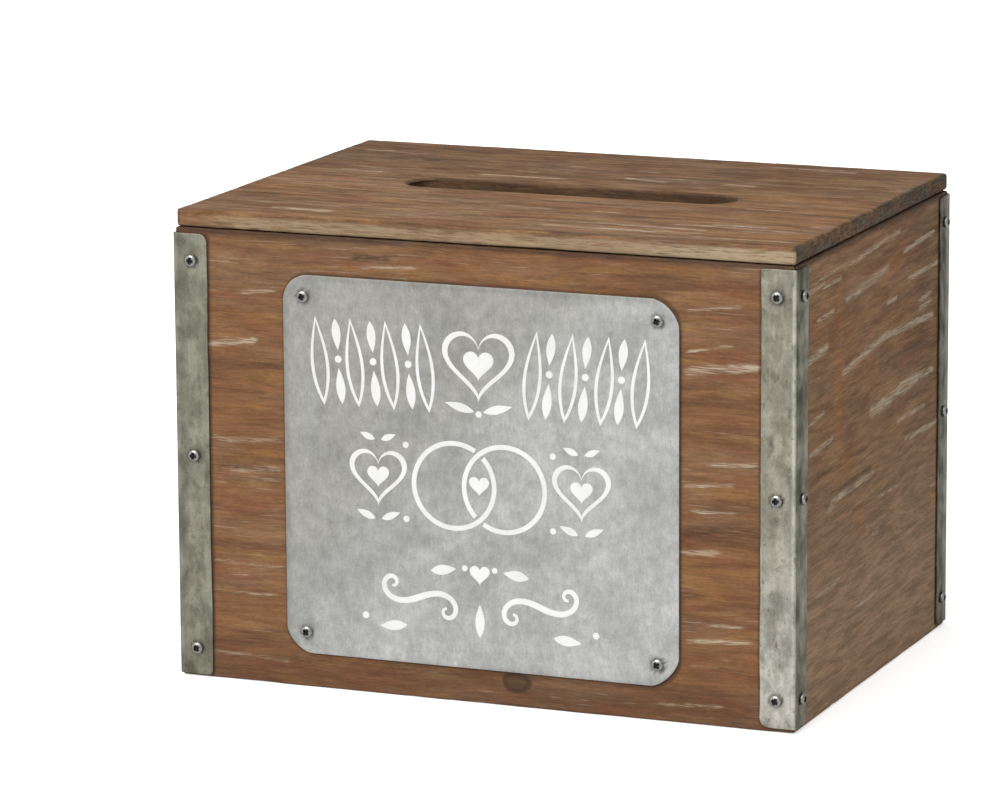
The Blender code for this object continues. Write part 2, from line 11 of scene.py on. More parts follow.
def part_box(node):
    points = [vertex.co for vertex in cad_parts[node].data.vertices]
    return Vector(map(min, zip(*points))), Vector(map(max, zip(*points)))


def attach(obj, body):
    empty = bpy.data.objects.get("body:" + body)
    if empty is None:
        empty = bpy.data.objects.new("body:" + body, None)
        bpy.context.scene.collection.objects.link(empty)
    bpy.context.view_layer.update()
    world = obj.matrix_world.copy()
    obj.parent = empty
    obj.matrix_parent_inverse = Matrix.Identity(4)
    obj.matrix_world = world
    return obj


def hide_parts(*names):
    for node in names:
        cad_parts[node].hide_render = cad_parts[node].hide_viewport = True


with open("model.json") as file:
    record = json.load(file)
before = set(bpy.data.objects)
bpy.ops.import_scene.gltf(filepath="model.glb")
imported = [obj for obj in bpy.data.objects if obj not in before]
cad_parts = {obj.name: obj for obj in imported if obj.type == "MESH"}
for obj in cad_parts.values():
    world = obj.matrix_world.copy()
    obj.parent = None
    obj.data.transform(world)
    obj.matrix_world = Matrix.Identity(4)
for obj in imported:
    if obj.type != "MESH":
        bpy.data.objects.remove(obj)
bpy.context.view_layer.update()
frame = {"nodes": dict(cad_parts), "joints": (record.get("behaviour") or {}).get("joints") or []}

MM = 0.001
X, Y, Z = 0, 1, 2

# ---------------------------------------------------------------- sizes
PLANK_STEP_ALONG = 4.0 * MM         # mesh spacing with the grain
PLANK_STEP_ACROSS = 0.8 * MM        # mesh spacing across the grain
PLANK_EDGE_LINES = (0.15 * MM, 0.45 * MM, 0.9 * MM, 1.5 * MM, 2.2 * MM)
WALL_EDGE_RADIUS = 0.5 * MM
LID_EDGE_RADIUS = 1.0 * MM
EDGE_RADIUS_SPREAD = 0.9 * MM       # worn edges are rounder by up to this much
MITRE_EDGE_RADIUS = 0.12 * MM
GROOVE_DEPTH = 0.17 * MM            # wire-brushed grain
SLOT_LENGTH = 166 * MM
SLOT_WIDTH = 26 * MM
SLOT_CENTRE = (1.5 * MM, -1.0 * MM)
SLOT_EASE = 1.1 * MM                # rounding of the slot's rims
SLOT_EASE_STEPS = 4
SLOT_ARC_STEPS = 24
SLOT_WALL_STEPS = 6
SLOT_ROUGHNESS = 0.02               # unevenness of the slot's wall, as a share of its reach
SLOT_SEED = 77

SHEET = 0.8 * MM                    # thickness of the brackets
BEND_RADIUS = 1.6 * MM              # outside of a bracket's bend
BRACKET_STEP_Z = 1.6 * MM
BRACKET_STEP_LEG = 1.2 * MM
BEND_STEPS = 10
SIGN_SHEET = 1.0 * MM
SIGN_STEP = 1.6 * MM
# corners of the sign plate: x side, z side, radius in mm, power of the curve (2 is round, less is flatter)
SIGN_CORNERS = (
    (-1, 1, 12.7, 2.0),
    (1, 1, 13.4, 1.7),
    (-1, -1, 12.2, 1.6),
    (1, -1, 13.6, 1.55),
)
SIGN_CURL = 0.12 * MM               # how far the plate's rim bends back
SHEET_SWAY = 0.10 * MM              # unevenness of the brackets' legs
SHEET_EDGE = 0.22 * MM              # rounding of the sheets' rims
SHEET_EDGE_ANGLE = math.radians(55)
DIMPLE_DEPTH = 0.22 * MM
DIMPLE_REACH = 3.6 * MM

# screw: head's radius and height, shank's radius and length, steps round
PAN_HEAD = (2.8 * MM, 1.7 * MM, 1.2 * MM, 6.0 * MM, 40)
SMALL_PAN_HEAD = (1.6 * MM, 0.75 * MM, 0.7 * MM, 6.2 * MM, 28)
HEAD_SINK = 0.25 * MM               # a head's underside rests this much lower than its solid
RECESS_DEPTH = 1.25 * MM            # of the cross recess in a head of 2.8 mm radius
SCREW_TURN_SEED = 5

HINGE_LENGTH = 25.4 * MM
LEAF_SHEET = 0.9 * MM
LEAF_STEP = 0.8 * MM
LEAF_CORNER = 1.2 * MM
LEAF_EDGE = 0.12 * MM
KNUCKLE_HALF = 4.15 * MM
KNUCKLE_GAP = 0.25 * MM
BARREL_RADIUS = 2.1 * MM
BARREL_WRAP = math.radians(292)
LEAF_SHOULDER = 2.5 * MM            # from the pin's axis to the edge beside a knuckle
PIN_RADIUS = 1.12 * MM
PIN_HEAD_RADIUS = 1.6 * MM
PIN_HEAD = 0.62 * MM                # length of each of the pin's heads
PIN_STEPS = 28

MOTIF_PROUD = 0.06 * MM             # half thickness of the painted motif
GARLAND_HEIGHT = 157                # heights of the motif's three rows above the floor, in mm
RINGS_HEIGHT = 102.5
FLOURISH_HEIGHT = 48.5
SMOOTH_ANGLE = math.radians(38)

FACINGS = {
    "front": Vector((0, -1, 0)),
    "back": Vector((0, 1, 0)),
    "left": Vector((-1, 0, 0)),
    "right": Vector((1, 0, 0)),
}

# ---------------------------------------------------------------- camera and light
CAMERA_PLACE = (0.9303, -2.3531, 0.6418)
CAMERA_YAW = -0.3895
CAMERA_PITCH = -0.2025
CAMERA_ROLL = -0.0060
CAMERA_LENS = 194.7

WORLD_DIM = 0.42                    # strength of the surround away from its bright side
WORLD_BRIGHT = 1.10                 # and on it
WORLD_TOWARDS = (-0.45, -0.55, 0.70)
KEY_TOWARDS = (-0.22, -0.62, 0.75)
KEY_STRENGTH = 1.8
KEY_ANGLE = math.radians(45)
FLOOR_REACH = 6.0
FLOOR_DROP = 0.2 * MM
FLOOR_BOUNCE = 0.62                 # how much light the floor bounces
FLOOR_SHOWN = 0.92                  # how pale the camera sees it
FLOOR_LIFT = 0.5                    # and how much it glows for the camera


# ---------------------------------------------------------------- numbers along a line
def spaced(low, high, step, edges=()):
    """Even stops from low to high, with extra stops at the given distances from both ends."""
    inner_low = low + (edges[-1] if edges else 0)
    inner_high = high - (edges[-1] if edges else 0)
    count = max(1, round((inner_high - inner_low) / step))
    middle = np.linspace(inner_low, inner_high, count + 1)
    near = [low] + [low + distance for distance in edges[:-1]] if edges else []
    far = [high - distance for distance in reversed(edges[:-1])] + [high] if edges else []
    return np.concatenate([near, middle, far])


def smooth_noise(points, patch, seed):
    """Smooth noise from 0 to 1 at each point, with patches of the given size along each axis."""
    size = 61
    table = np.random.default_rng(seed).random((size, size, size))
    place = np.asarray(points) / np.asarray(patch) + 500
    cell = np.floor(place).astype(int)
    share = place - cell
    share = share * share * (3 - 2 * share)
    total = np.zeros(len(place))
    for corner in itertools.product((0, 1), repeat=3):
        weight = np.prod(np.where(corner, share, 1 - share), axis=1)
        key = (cell + corner) % size
        total += weight * table[key[:, 0], key[:, 1], key[:, 2]]
    return total


def ramp(values, low, high):
    """0 below low, 1 above high, smooth in between."""
    share = np.clip((values - low) / (high - low), 0, 1)
    return share * share * (3 - 2 * share)


# ---------------------------------------------------------------- meshes
def new_object(name, mesh):
    """Object in the scene for a mesh in the row frame."""
    obj = bpy.data.objects.new(name, mesh)
    bpy.context.scene.collection.objects.link(obj)
    return obj


def stand_in(piece, node, body):
    """Let a piece take the place of a CAD node and ride on a body."""
    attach(piece, body)
    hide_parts(node)


def mesh_from(name, points, faces):
    """Mesh with outward faces from numpy points and lists of corners."""
    mesh = bpy.data.meshes.new(name)
    mesh.from_pydata(np.asarray(points).tolist(), [], [list(face) for face in faces])
    bm = bmesh.new()
    bm.from_mesh(mesh)
    bmesh.ops.recalc_face_normals(bm, faces=bm.faces)
    bm.to_mesh(mesh)
    bm.free()
    return mesh


def smooth(mesh, angle=SMOOTH_ANGLE):
    """Shade smooth, with real edges kept sharp."""
    mesh.shade_smooth()
    mesh.set_sharp_from_angle(angle=angle)


def with_modifier(mesh, kind, **settings):
    """The mesh with one modifier applied."""
    blank = new_object(mesh.name + "_blank", mesh)
    modifier = blank.modifiers.new(kind, kind)
    for key, value in settings.items():
        setattr(modifier, key, value)
    graph = bpy.context.evaluated_depsgraph_get()
    result = bpy.data.meshes.new_from_object(blank.evaluated_get(graph), depsgraph=graph)
    bpy.data.objects.remove(blank)
    return result


def cut(mesh, cutter):
    """The mesh with another closed mesh taken away from it."""
    tool = new_object(mesh.name + "_cutter", cutter)
    result = with_modifier(mesh, "BOOLEAN", operation="DIFFERENCE", solver="EXACT", object=tool)
    bpy.data.objects.remove(tool)
    return result


def bevelled(mesh, width, angle):
    """The mesh with its sharp edges rounded."""
    return with_modifier(mesh, "BEVEL", width=width, segments=2, limit_method="ANGLE",
                         angle_limit=angle, use_clamp_overlap=True)


def mesh_points(mesh):
    """Vertices of a mesh as a numpy array."""
    flat = np.zeros(len(mesh.vertices) * 3)
    mesh.vertices.foreach_get("co", flat)
    return flat.reshape(-1, 3)


def paint(mesh, name, values):
    """Store one number for each vertex, for the material to read."""
    attribute = mesh.attributes.new(name, "FLOAT", "POINT")
    attribute.data.foreach_set("value", np.asarray(values, np.float32))


def box_lattice(stops):
    """Points and quads of a closed box divided at the given stops along x, y and z."""
    counts = [len(axis_stops) for axis_stops in stops]
    grid = np.stack(np.meshgrid(*stops, indexing="ij"), -1)
    on_shell = np.zeros(counts, bool)
    for axis in range(3):
        for end in (0, -1):
            face = [slice(None)] * 3
            face[axis] = end
            on_shell[tuple(face)] = True
    index = np.full(counts, -1)
    index[on_shell] = np.arange(on_shell.sum())
    quads = []
    for axis in range(3):
        for end in (0, -1):
            side = np.take(index, end, axis)
            corners = (side[:-1, :-1], side[1:, :-1], side[1:, 1:], side[:-1, 1:])
            quads.append(np.stack(corners, -1).reshape(-1, 4))
    return grid[on_shell], np.concatenate(quads)


def sheet_lattice(stops_a, stops_b, thickness, missing=None):
    """Points (a, b, height) and quads of a closed flat sheet; missing marks the cells that are left out."""
    shape = (len(stops_a), len(stops_b))
    present = np.ones((shape[0] - 1, shape[1] - 1), bool)
    if missing is not None:
        present &= ~missing
    lower = np.arange(shape[0] * shape[1]).reshape(shape)
    upper = lower + shape[0] * shape[1]
    faces = []
    padded = np.pad(present, 1)
    for i, j in zip(*np.nonzero(present)):
        ring = ((i, j), (i + 1, j), (i + 1, j + 1), (i, j + 1))
        faces.append([upper[place] for place in ring])
        faces.append([lower[place] for place in reversed(ring)])
        neighbours = (padded[i + 1, j], padded[i + 2, j + 1], padded[i + 1, j + 2], padded[i, j + 1])
        for start, neighbour in enumerate(neighbours):
            if not neighbour:
                first, second = ring[start], ring[(start + 1) % 4]
                faces.append([lower[first], lower[second], upper[second], upper[first]])
    a, b = np.meshgrid(stops_a, stops_b, indexing="ij")
    flat = np.stack([a.ravel(), b.ravel()], -1)
    points = np.vstack([np.column_stack([flat, np.zeros(len(flat))]),
                        np.column_stack([flat, np.full(len(flat), thickness)])])
    used = np.unique(np.concatenate([np.asarray(face) for face in faces]))
    renumber = np.full(len(points), -1)
    renumber[used] = np.arange(len(used))
    return points[used], [[int(renumber[corner]) for corner in face] for face in faces]


def round_corner(points, corner, inward, radius, power=2.0):
    """Pull the lattice points near one corner of a flat sheet onto a rounded corner."""
    reach = [(points[:, axis] - corner[axis]) * inward[axis] for axis in (0, 1)]
    near = (reach[0] < radius) & (reach[1] < radius)
    a = radius - reach[0][near]
    b = radius - reach[1][near]
    length = (a ** power + b ** power) ** (1 / power)
    shrink = np.maximum(a, b) / np.maximum(length, 1e-12)
    points[near, 0] = corner[0] + inward[0] * (radius - a * shrink)
    points[near, 1] = corner[1] + inward[1] * (radius - b * shrink)


def turned(profile, steps):
    """Closed mesh points and faces from a profile of (radius, height) that starts and ends on the axis."""
    rings = profile[1:-1]
    angles = np.arange(steps) * 2 * math.pi / steps
    points = [(0, 0, profile[0][1]), (0, 0, profile[-1][1])]
    for radius, height in rings:
        points += [(radius * math.cos(angle), radius * math.sin(angle), height) for angle in angles]
    faces = []
    last = 2 + (len(rings) - 1) * steps
    for step in range(steps):
        after = (step + 1) % steps
        faces.append((0, 2 + step, 2 + after))
        faces.append((1, last + after, last + step))
        for ring in range(len(rings) - 1):
            base = 2 + ring * steps
            faces.append((base + step, base + steps + step, base + steps + after, base + after))
    return np.array(points), faces


# ---------------------------------------------------------------- boards
def grooves(wood, seed):
    """How deeply the grain is brushed out, 0 to 1, at points given along, across and into the board."""
    fine = smooth_noise(wood, (17 * MM, 1.3 * MM, 1.3 * MM), seed)
    broad = smooth_noise(wood, (80 * MM, 5 * MM, 5 * MM), seed + 1)
    return ramp(fine, 0.5, 0.88) * (0.3 + 0.7 * broad)


def weathered(points, low, high, axes, mitred, least_radius, seed):
    """Points of a square box, moved inwards onto worn edges and brushed faces."""
    wood = points[:, axes]
    wear = smooth_noise(wood, (24 * MM, 10 * MM, 10 * MM), seed + 2)
    chips = ramp(smooth_noise(wood, (7 * MM, 5 * MM, 5 * MM), seed + 3), 0.78, 0.95)
    radius = np.repeat((least_radius + EDGE_RADIUS_SPREAD * (wear + 0.7 * chips))[:, None], 3, axis=1)
    if mitred:
        radius[:, axes[0]] = MITRE_EDGE_RADIUS
    inner = np.clip(points, low + radius, high - radius)
    outwards = (points - inner) / radius
    outwards /= np.linalg.norm(outwards, axis=1)[:, None]
    brushed = (GROOVE_DEPTH * grooves(wood, seed))[:, None] * (radius > GROOVE_DEPTH)
    return inner + outwards * (radius - brushed)


def plank_mesh(node, axes, mitre_face, seed):
    """Board in the place of a CAD board. Its ends are mitred towards mitre_face, -1 or 1 along its depth."""
    low, high = (np.array(corner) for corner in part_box(node))
    along, across, depth = axes
    stops = [None] * 3
    stops[along] = spaced(low[along], high[along], PLANK_STEP_ALONG, PLANK_EDGE_LINES)
    stops[across] = spaced(low[across], high[across], PLANK_STEP_ACROSS, PLANK_EDGE_LINES)
    stops[depth] = spaced(low[depth], high[depth], PLANK_STEP_ACROSS, PLANK_EDGE_LINES)
    points, quads = box_lattice(stops)
    least_radius = WALL_EDGE_RADIUS if mitre_face else LID_EDGE_RADIUS
    points = weathered(points, low, high, axes, bool(mitre_face), least_radius, seed)
    if mitre_face:
        outer = high[depth] if mitre_face > 0 else low[depth]
        inset = np.abs(points[:, depth] - outer)
        points[:, along] *= 1 - inset / high[along]
    return mesh_from(node + "_wood", points, quads)


def slot_outline(grow):
    """Round-ended outline of the slot, grown by a distance."""
    radius = SLOT_WIDTH / 2 + grow
    half = (SLOT_LENGTH - SLOT_WIDTH) / 2
    outline = []
    for side, start in ((1, -math.pi / 2), (-1, math.pi / 2)):
        for step in range(SLOT_ARC_STEPS + 1):
            angle = start + math.pi * step / SLOT_ARC_STEPS
            outline.append((side * half + radius * math.cos(angle), radius * math.sin(angle)))
        straight = np.linspace(side * half, -side * half, SLOT_ARC_STEPS + 2)[1:-1]
        outline += [(x, side * radius) for x in straight]
    return np.array(outline) + np.array(SLOT_CENTRE)


def slot_cutter(low_z, high_z):
    """Solid that cuts the card slot, flared at both ends so that the slot's rims are eased."""
    levels = [(low_z - 2 * MM, SLOT_EASE)]
    for step in range(SLOT_EASE_STEPS + 1):
        angle = step / SLOT_EASE_STEPS * math.pi / 2
        levels.append((low_z + SLOT_EASE * (1 - math.cos(angle)), SLOT_EASE * (1 - math.sin(angle))))
    upper = [(low_z + high_z - z, grow) for z, grow in reversed(levels)]
    between = np.linspace(levels[-1][0], upper[0][0], SLOT_WALL_STEPS + 1)[1:-1]
    levels += [(z, 0.0) for z in between] + upper
    rings = []
    for z, grow in levels:
        outline = slot_outline(grow)
        rings.append(np.column_stack([outline, np.full(len(outline), z)]))
    points = np.vstack(rings)
    rough = smooth_noise(points, (9 * MM, 9 * MM, 1.4 * MM), SLOT_SEED) - 0.5
    centre = np.array([*SLOT_CENTRE, 0])
    points[:, :2] += (points - centre)[:, :2] * (rough * SLOT_ROUGHNESS)[:, None]
    count = len(rings[0])
    faces = [list(range(count))[::-1], [(len(rings) - 1) * count + corner for corner in range(count)]]
    for ring in range(len(rings) - 1):
        for corner in range(count):
            after = (corner + 1) % count
            base = ring * count
            faces.append((base + corner, base + after, base + count + after, base + count + corner))
    return mesh_from("card_slot_cutter", points, faces)


def streaks_at(u, v, streaks):
    """Strength at each point of tapered streaks: start u, v, end u, v, half width (in mm) and strength."""
    total = np.zeros(len(u))
    for start_u, start_v, end_u, end_v, half_width, strength in streaks:
        share = np.clip((u - start_u) / (end_u - start_u), 0, 1)
        beside = (v - start_v - (end_v - start_v) * share) / half_width
        beyond = (u - np.clip(u, start_u, end_u)) / 3
        total = np.maximum(total, strength * np.exp(-beside ** 2 - beyond ** 2))
    return total


def patches_at(u, v, patches):
    """Strength at each point of soft patches: u, v, half length, half height (all in mm) and strength."""
    total = np.zeros(len(u))
    for centre_u, centre_v, half_u, half_v, strength in patches:
        apart = ((u - centre_u) / half_u) ** 2 + ((v - centre_v) / half_v) ** 2
        total = np.maximum(total, strength * np.exp(-apart ** 2))
    return total


def scattered_streaks(seed, count, u_range, v_range):
    """Streaks of limewash left in the grain of a board."""
    draw = np.random.default_rng(seed)
    streaks = []
    for _ in range(count):
        length = draw.uniform(10, 42)
        u = draw.uniform(u_range[0], u_range[1] - length)
        v = draw.uniform(*v_range)
        rise = draw.uniform(-0.02, 0.06) * length
        streaks.append((u, v, u + length, v + rise, draw.uniform(0.7, 2.0), draw.uniform(0.5, 1.0)))
    return streaks


FRONT_WASH = [      # limewash on the front wall
    (-137, 160.5, -114, 163.5, 2.2, 0.95), (-120, 186, -104, 188, 1.6, 0.75),
    (-136, 115.5, -100, 117, 2.8, 0.55), (-126, 101, -100, 103.5, 2.4, 0.6), (-116, 97, -102, 98, 1.2, 0.6),
    (-135, 57, -99, 56, 1.8, 0.55), (-124, 42, -103, 42.5, 1.2, 0.7), (-137, 13, -98, 11.5, 2, 0.55),
    (-122, 56, -99, 56.5, 0.8, 0.5), (-59, 201.5, -32, 203, 1, 0.8), (102, 192, 125, 195, 1.2, 0.8),
    (102, 173, 121, 177, 0.9, 0.8), (101, 164, 135, 168, 2.8, 0.9), (100, 111, 122, 113, 1.4, 0.8),
    (112, 122, 133, 123, 1.8, 0.8), (100, 80, 116, 81, 2, 0.8), (104, 99.5, 124, 100, 1.2, 0.8),
    (102, 39, 131, 40.5, 1.4, 0.9), (112, 47, 128, 47.5, 1.2, 0.7), (100, 27, 118, 28, 0.8, 0.5),
    (88, 8, 118, 9.5, 1.5, 0.6), (100, 200, 117, 201, 0.8, 0.6),
]
FRONT_DARK = [      # dark streaks on it
    (100, 90, 138, 92, 4.5, 0.6), (100, 89.5, 116, 89.5, 1, 0.9), (-62, 206, -46, 206.5, 2, 0.9),
    (-130, 103, -99, 102, 1.3, 0.6), (-136, 140, -112, 139, 1, 0.5), (104, 74, 136, 76, 1.4, 0.5),
    (60, 10, 112, 6, 3, 0.5), (-100, 5, -20, 6, 2, 0.4), (-96, 14, -8, 13, 2.4, 0.6),
    (24, 14.5, 92, 14, 1.8, 0.5), (-60, 8.5, 0, 7.5, 1.2, 0.6), (-12, 5, 44, 4, 1, 0.6),
]
SIDE_WASH = [       # the same on the right wall
    (-96, 199.5, -72, 201, 1.3, 0.92), (-73, 199, -50, 199.5, 1.3, 0.92), (-86, 203, -44, 205, 1.4, 0.75),
    (-44, 203, 36, 207.5, 2, 0.8), (-81, 185, -59, 186, 1.8, 0.92), (-94, 168, -68, 171, 2.8, 1),
    (-41, 188, 19, 192.5, 3.2, 0.8), (44, 196.5, 89, 198.5, 1.6, 1), (51, 182, 96, 182.5, 1.6, 1),
    (20, 176, 32, 176, 1.3, 1), (69, 164.5, 86, 165.5, 1.6, 0.9), (69, 168.5, 86, 169.5, 1.6, 0.9),
    (-46, 154.5, 14, 160.5, 2.4, 1), (14, 160.5, 89, 158.5, 2.3, 1), (-4, 128, 66, 131.5, 3.8, 1),
    (40, 132.5, 89, 131.5, 2.4, 1), (-91, 124.5, -60, 127, 1.9, 1), (-91, 139, -73, 141.5, 1.9, 0.8),
    (36, 116, 77, 116, 1.5, 0.9), (49, 105, 99, 104, 1.6, 1), (-61, 97, -1, 98.5, 1.9, 1),
    (5, 85, 38, 85, 1.5, 0.7), (59, 86, 79, 86, 1.4, 0.65), (-81, 57, -49, 58.5, 1.7, 0.75),
    (-24, 39, 2, 39.5, 1.4, 0.85), (-40, 38, -14, 38.5, 1.2, 0.55), (0, 69.5, 8, 69.5, 2.2, 0.8),
    (-67, 93.5, -58, 94.5, 1.8, 0.75), (88, 74, 100, 73.5, 1.6, 0.7),
]
SIDE_DARK = [
    (-61, 101, -5, 101.5, 1, 0.8), (-90, 111, -62, 113, 2, 0.4), (10, 147, 80, 149, 3.4, 0.5),
    (-44, 138, -8, 136, 4.2, 0.4), (8, 174, 90, 175, 2.2, 0.4), (-28, 86, 10, 86, 1.2, 0.4),
    (-78, 150, -62, 149, 1, 0.5), (40, 189, 100, 190, 1.6, 0.4),
]
SIDE_WARM = [       # orange patches on it
    (-51, 150, 7, 45, 1), (-38, 112, 10, 8, 0.9), (-20, 81, 7, 9, 0.7), (91, 69, 6, 5, 0.7),
    (30, 192, 46, 4, 0.5), (-78, 188, 18, 10, 0.4), (22, 168, 34, 4, 0.4), (-20, 148, 40, 3.5, 0.4),
]
LID_WASH = [        # and on the lid
    (18, -80, 72, -82, 2.4, 0.6), (40, -93, 100, -91, 2.4, 0.7), (92, -70, 138, -74, 2.6, 0.6),
    (-128, 34, -106, 30, 2, 0.6), (-118, -28, -98, -31, 2, 0.5), (18, 44, 60, 40, 3, 0.5),
    (60, 95, 110, 98, 2.5, 0.5), (-60, -60, -10, -63, 2, 0.5), (100, -100, 145, -99, 2, 0.7),
    (-112, -92, -82, -93, 4, 0.8), (-124, -78, -80, -80, 3, 0.6), (-126, 22, -104, 20, 3, 0.8),
    (-132, -25, -110, -26, 2.5, 0.6), (-12, -50, 12, -52, 4, 0.6), (98, -66, 122, -66, 3, 0.8),
    (24, -92, 78, -94, 3, 0.8), (48, -80, 98, -83, 3, 0.8), (14, 42, 34, 38, 4, 0.7),
    (66, 42, 78, 40, 3, 0.7), (80, 98, 112, 94, 3, 0.7), (-60, 33, -20, 32, 2.4, 0.5),
    (143, -56, 150, -56, 9, 0.55), (144, 52, 150, 52, 12, 0.5), (-52, -92, -24, -94, 4, 0.5),
]
LID_DARK = [
    (-120, 62, -70, 66, 5, 0.5), (88, -26, 150, -28, 3, 0.6), (-60, 96, 10, 92, 3, 0.4),
    (80, 84, 136, 82, 3, 0.6), (16, 38, 70, 36, 2, 0.4), (-140, -70, -118, -76, 6, 0.5),
]

# board: body, slot, axes along, across and into it, side its ends are mitred to, side of its outer face, seed
BOARDS = {
    "front_panel": ("box", "wall_wood", (X, Z, Y), -1, -1, 11),
    "back_panel": ("box", "wall_wood", (X, Z, Y), 1, 1, 23),
    "left_panel": ("box", "wall_wood", (Y, Z, X), -1, -1, 37),
    "right_panel": ("box", "wall_wood", (Y, Z, X), 1, 1, 41),
    "bottom_panel": ("box", "bottom_wood", (X, Y, Z), 0, -1, 53),
    "lid_panel": ("lid", "lid_wood", (X, Y, Z), 0, 1, 67),
}


def board_marks(name, u, v, seed):
    """Limewash, dark and warm marks on a board's outer face, at points in mm."""
    reach = (-140, 140) if name in ("front_panel", "back_panel", "lid_panel") else (-98, 98)
    wash, dark, warm = [], [], []
    if name == "front_panel":
        wash, dark = FRONT_WASH, FRONT_DARK
    elif name == "right_panel":
        wash, dark, warm = SIDE_WASH, SIDE_DARK, SIDE_WARM
    elif name == "lid_panel":
        wash = LID_WASH + scattered_streaks(seed, 16, reach, (-105, 105))
        dark = LID_DARK + scattered_streaks(seed + 5, 10, reach, (-105, 105))
    elif name != "bottom_panel":
        wash = scattered_streaks(seed, 26, reach, (8, 206))
        dark = scattered_streaks(seed + 5, 9, reach, (8, 206))
        warm = [(30, 120, 9, 40, 0.6), (-60, 60, 14, 10, 0.6)]
    clear = 1 - slot_shade(u, v) if name == "lid_panel" else 1
    return {
        "wash": streaks_at(u, v, wash) * clear,
        "dark": streaks_at(u, v, dark),
        "warm": patches_at(u, v, warm),
    }


def slot_shade(u, v):
    """1 inside the card slot's outline, falling to 0 just outside it, at points in mm."""
    centre_u, centre_v = (value / MM for value in SLOT_CENTRE)
    radius = SLOT_WIDTH / 2 / MM
    half = (SLOT_LENGTH - SLOT_WIDTH) / 2 / MM
    outside = np.hypot(np.clip(np.abs(u - centre_u) - half, 0, None), v - centre_v) - radius
    return 1 - ramp(outside, 0.5, 2.0)


def wall_looks(name, points, u, v):
    """Painted shade along a wall's top and bottom edges, darker wood low on the front wall, and how grey and
    light its parts are, with painted light low on the right wall.
    """
    low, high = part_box(name)
    height = (points[:, Z] - low.z) / MM
    top = (high.z - low.z) / MM
    # Painted shade: dark along the top edge, under the lid, and along the bottom edge, at the floor.
    stain = np.maximum(0.85 * ramp(height, top - 3.6, top - 0.8), 0.5 * (1 - ramp(height, 0.3, 1.6)))
    if name == "front_panel":
        # The front wall is also darker towards the bottom.
        stain = np.maximum(stain, 0.36 * (1 - ramp(height, 12, 26)))
    looks = {"stain": stain}
    if name == "right_panel":
        looks["grey"] = 1.15 * (1 - ramp(v, 40, 150))
        # Painted light: the right wall is lighter towards the bottom, against the shade that falls there, and
        # darker at its upper back.
        looks["tone"] = 1 + 0.36 * (1 - ramp(v, 0, 110)) - 0.20 * ramp(u, 30, 80) * ramp(v, 100, 140)
    return looks


def lid_looks(points, u, v):
    """Tone of the lid, darker towards the back, its bleached front edge, the end grain of its ends and slot,
    painted shade in its slot and along its lower edge, and its dark back edge and a dark line near its front
    edge.
    """
    low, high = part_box("lid_panel")
    height = (points[:, Z] - low.z) / MM
    top = (high.z - low.z) / MM
    from_front = (points[:, Y] - low.y) / MM
    from_back = (high.y - points[:, Y]) / MM
    from_end = np.minimum(high.x - points[:, X], points[:, X] - low.x) / MM
    in_slot = slot_shade(u, v)
    slot_end = in_slot * ramp(np.abs(u - SLOT_CENTRE[0] / MM), 68, 74)
    bleach = (1 - ramp(from_front, 0.3, 1.4)) * (1 - ramp(height, top - 3.0, top - 0.8)) * ramp(u, -148, -118)
    return {
        "tone": 1 - 0.25 * ramp(v, -5, 50),
        "bleach": bleach * (0.8 + 0.6 * ramp(u, 60, 140)),
        "end": np.maximum(1 - ramp(from_end, 0.6, 2.4), 0.9 * slot_end),
        # Painted shade in the slot and along the lid's lower edge, just above the walls; also dark along its
        # back edge and in a line on the top near its front edge.
        "stain": np.maximum.reduce([
            0.76 * in_slot - 0.36 * slot_end,
            0.6 * (1 - ramp(from_back, 0.4, 1.8)),
            0.45 * np.exp(-(from_front - 2.6) ** 2 / 3.0) * ramp(u, -60, 60) * ramp(height, 3, 5),
            0.75 * (1 - ramp(height, 0.3, 1.3)),
        ]),
    }


def paint_board(name, mesh, axes, face, seed):
    """Store what the wood material needs to know at each point of a board."""
    low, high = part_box(name)
    points = mesh_points(mesh)
    wood = points[:, axes]
    u, v = wood[:, 0] / MM, wood[:, 1] / MM
    looks = {look: np.zeros(len(u)) for look in ("grey", "bleach", "end", "stain")}
    looks["tone"] = np.ones(len(u))
    looks["groove"] = grooves(wood, seed)
    if name == "lid_panel":
        looks.update(lid_looks(points, u, v))
    elif name != "bottom_panel":
        looks.update(wall_looks(name, points, u, v))
    outer = high[axes[2]] if face > 0 else low[axes[2]]
    outside = 1 - ramp(np.abs(wood[:, 2] - outer), 1.0 * MM, 2.4 * MM)
    for mark, values in board_marks(name, u, v, seed).items():
        looks[mark] = values * outside
    for look, values in looks.items():
        paint(mesh, look, values)


def add_boards():
    """The four walls, the bottom and the slotted lid."""
    for name, (body, slot, axes, mitre_face, face, seed) in BOARDS.items():
        mesh = plank_mesh(name, axes, mitre_face, seed)
        if name == "lid_panel":
            low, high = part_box(name)
            mesh = cut(mesh, slot_cutter(low.z, high.z))
        paint_board(name, mesh, axes, face, seed)
        smooth(mesh)
        mesh.materials.clear()
        mesh.materials.append(wood_material(name, axes, face, seed))
        stand_in(new_object(name + "_wood", mesh), name, body)


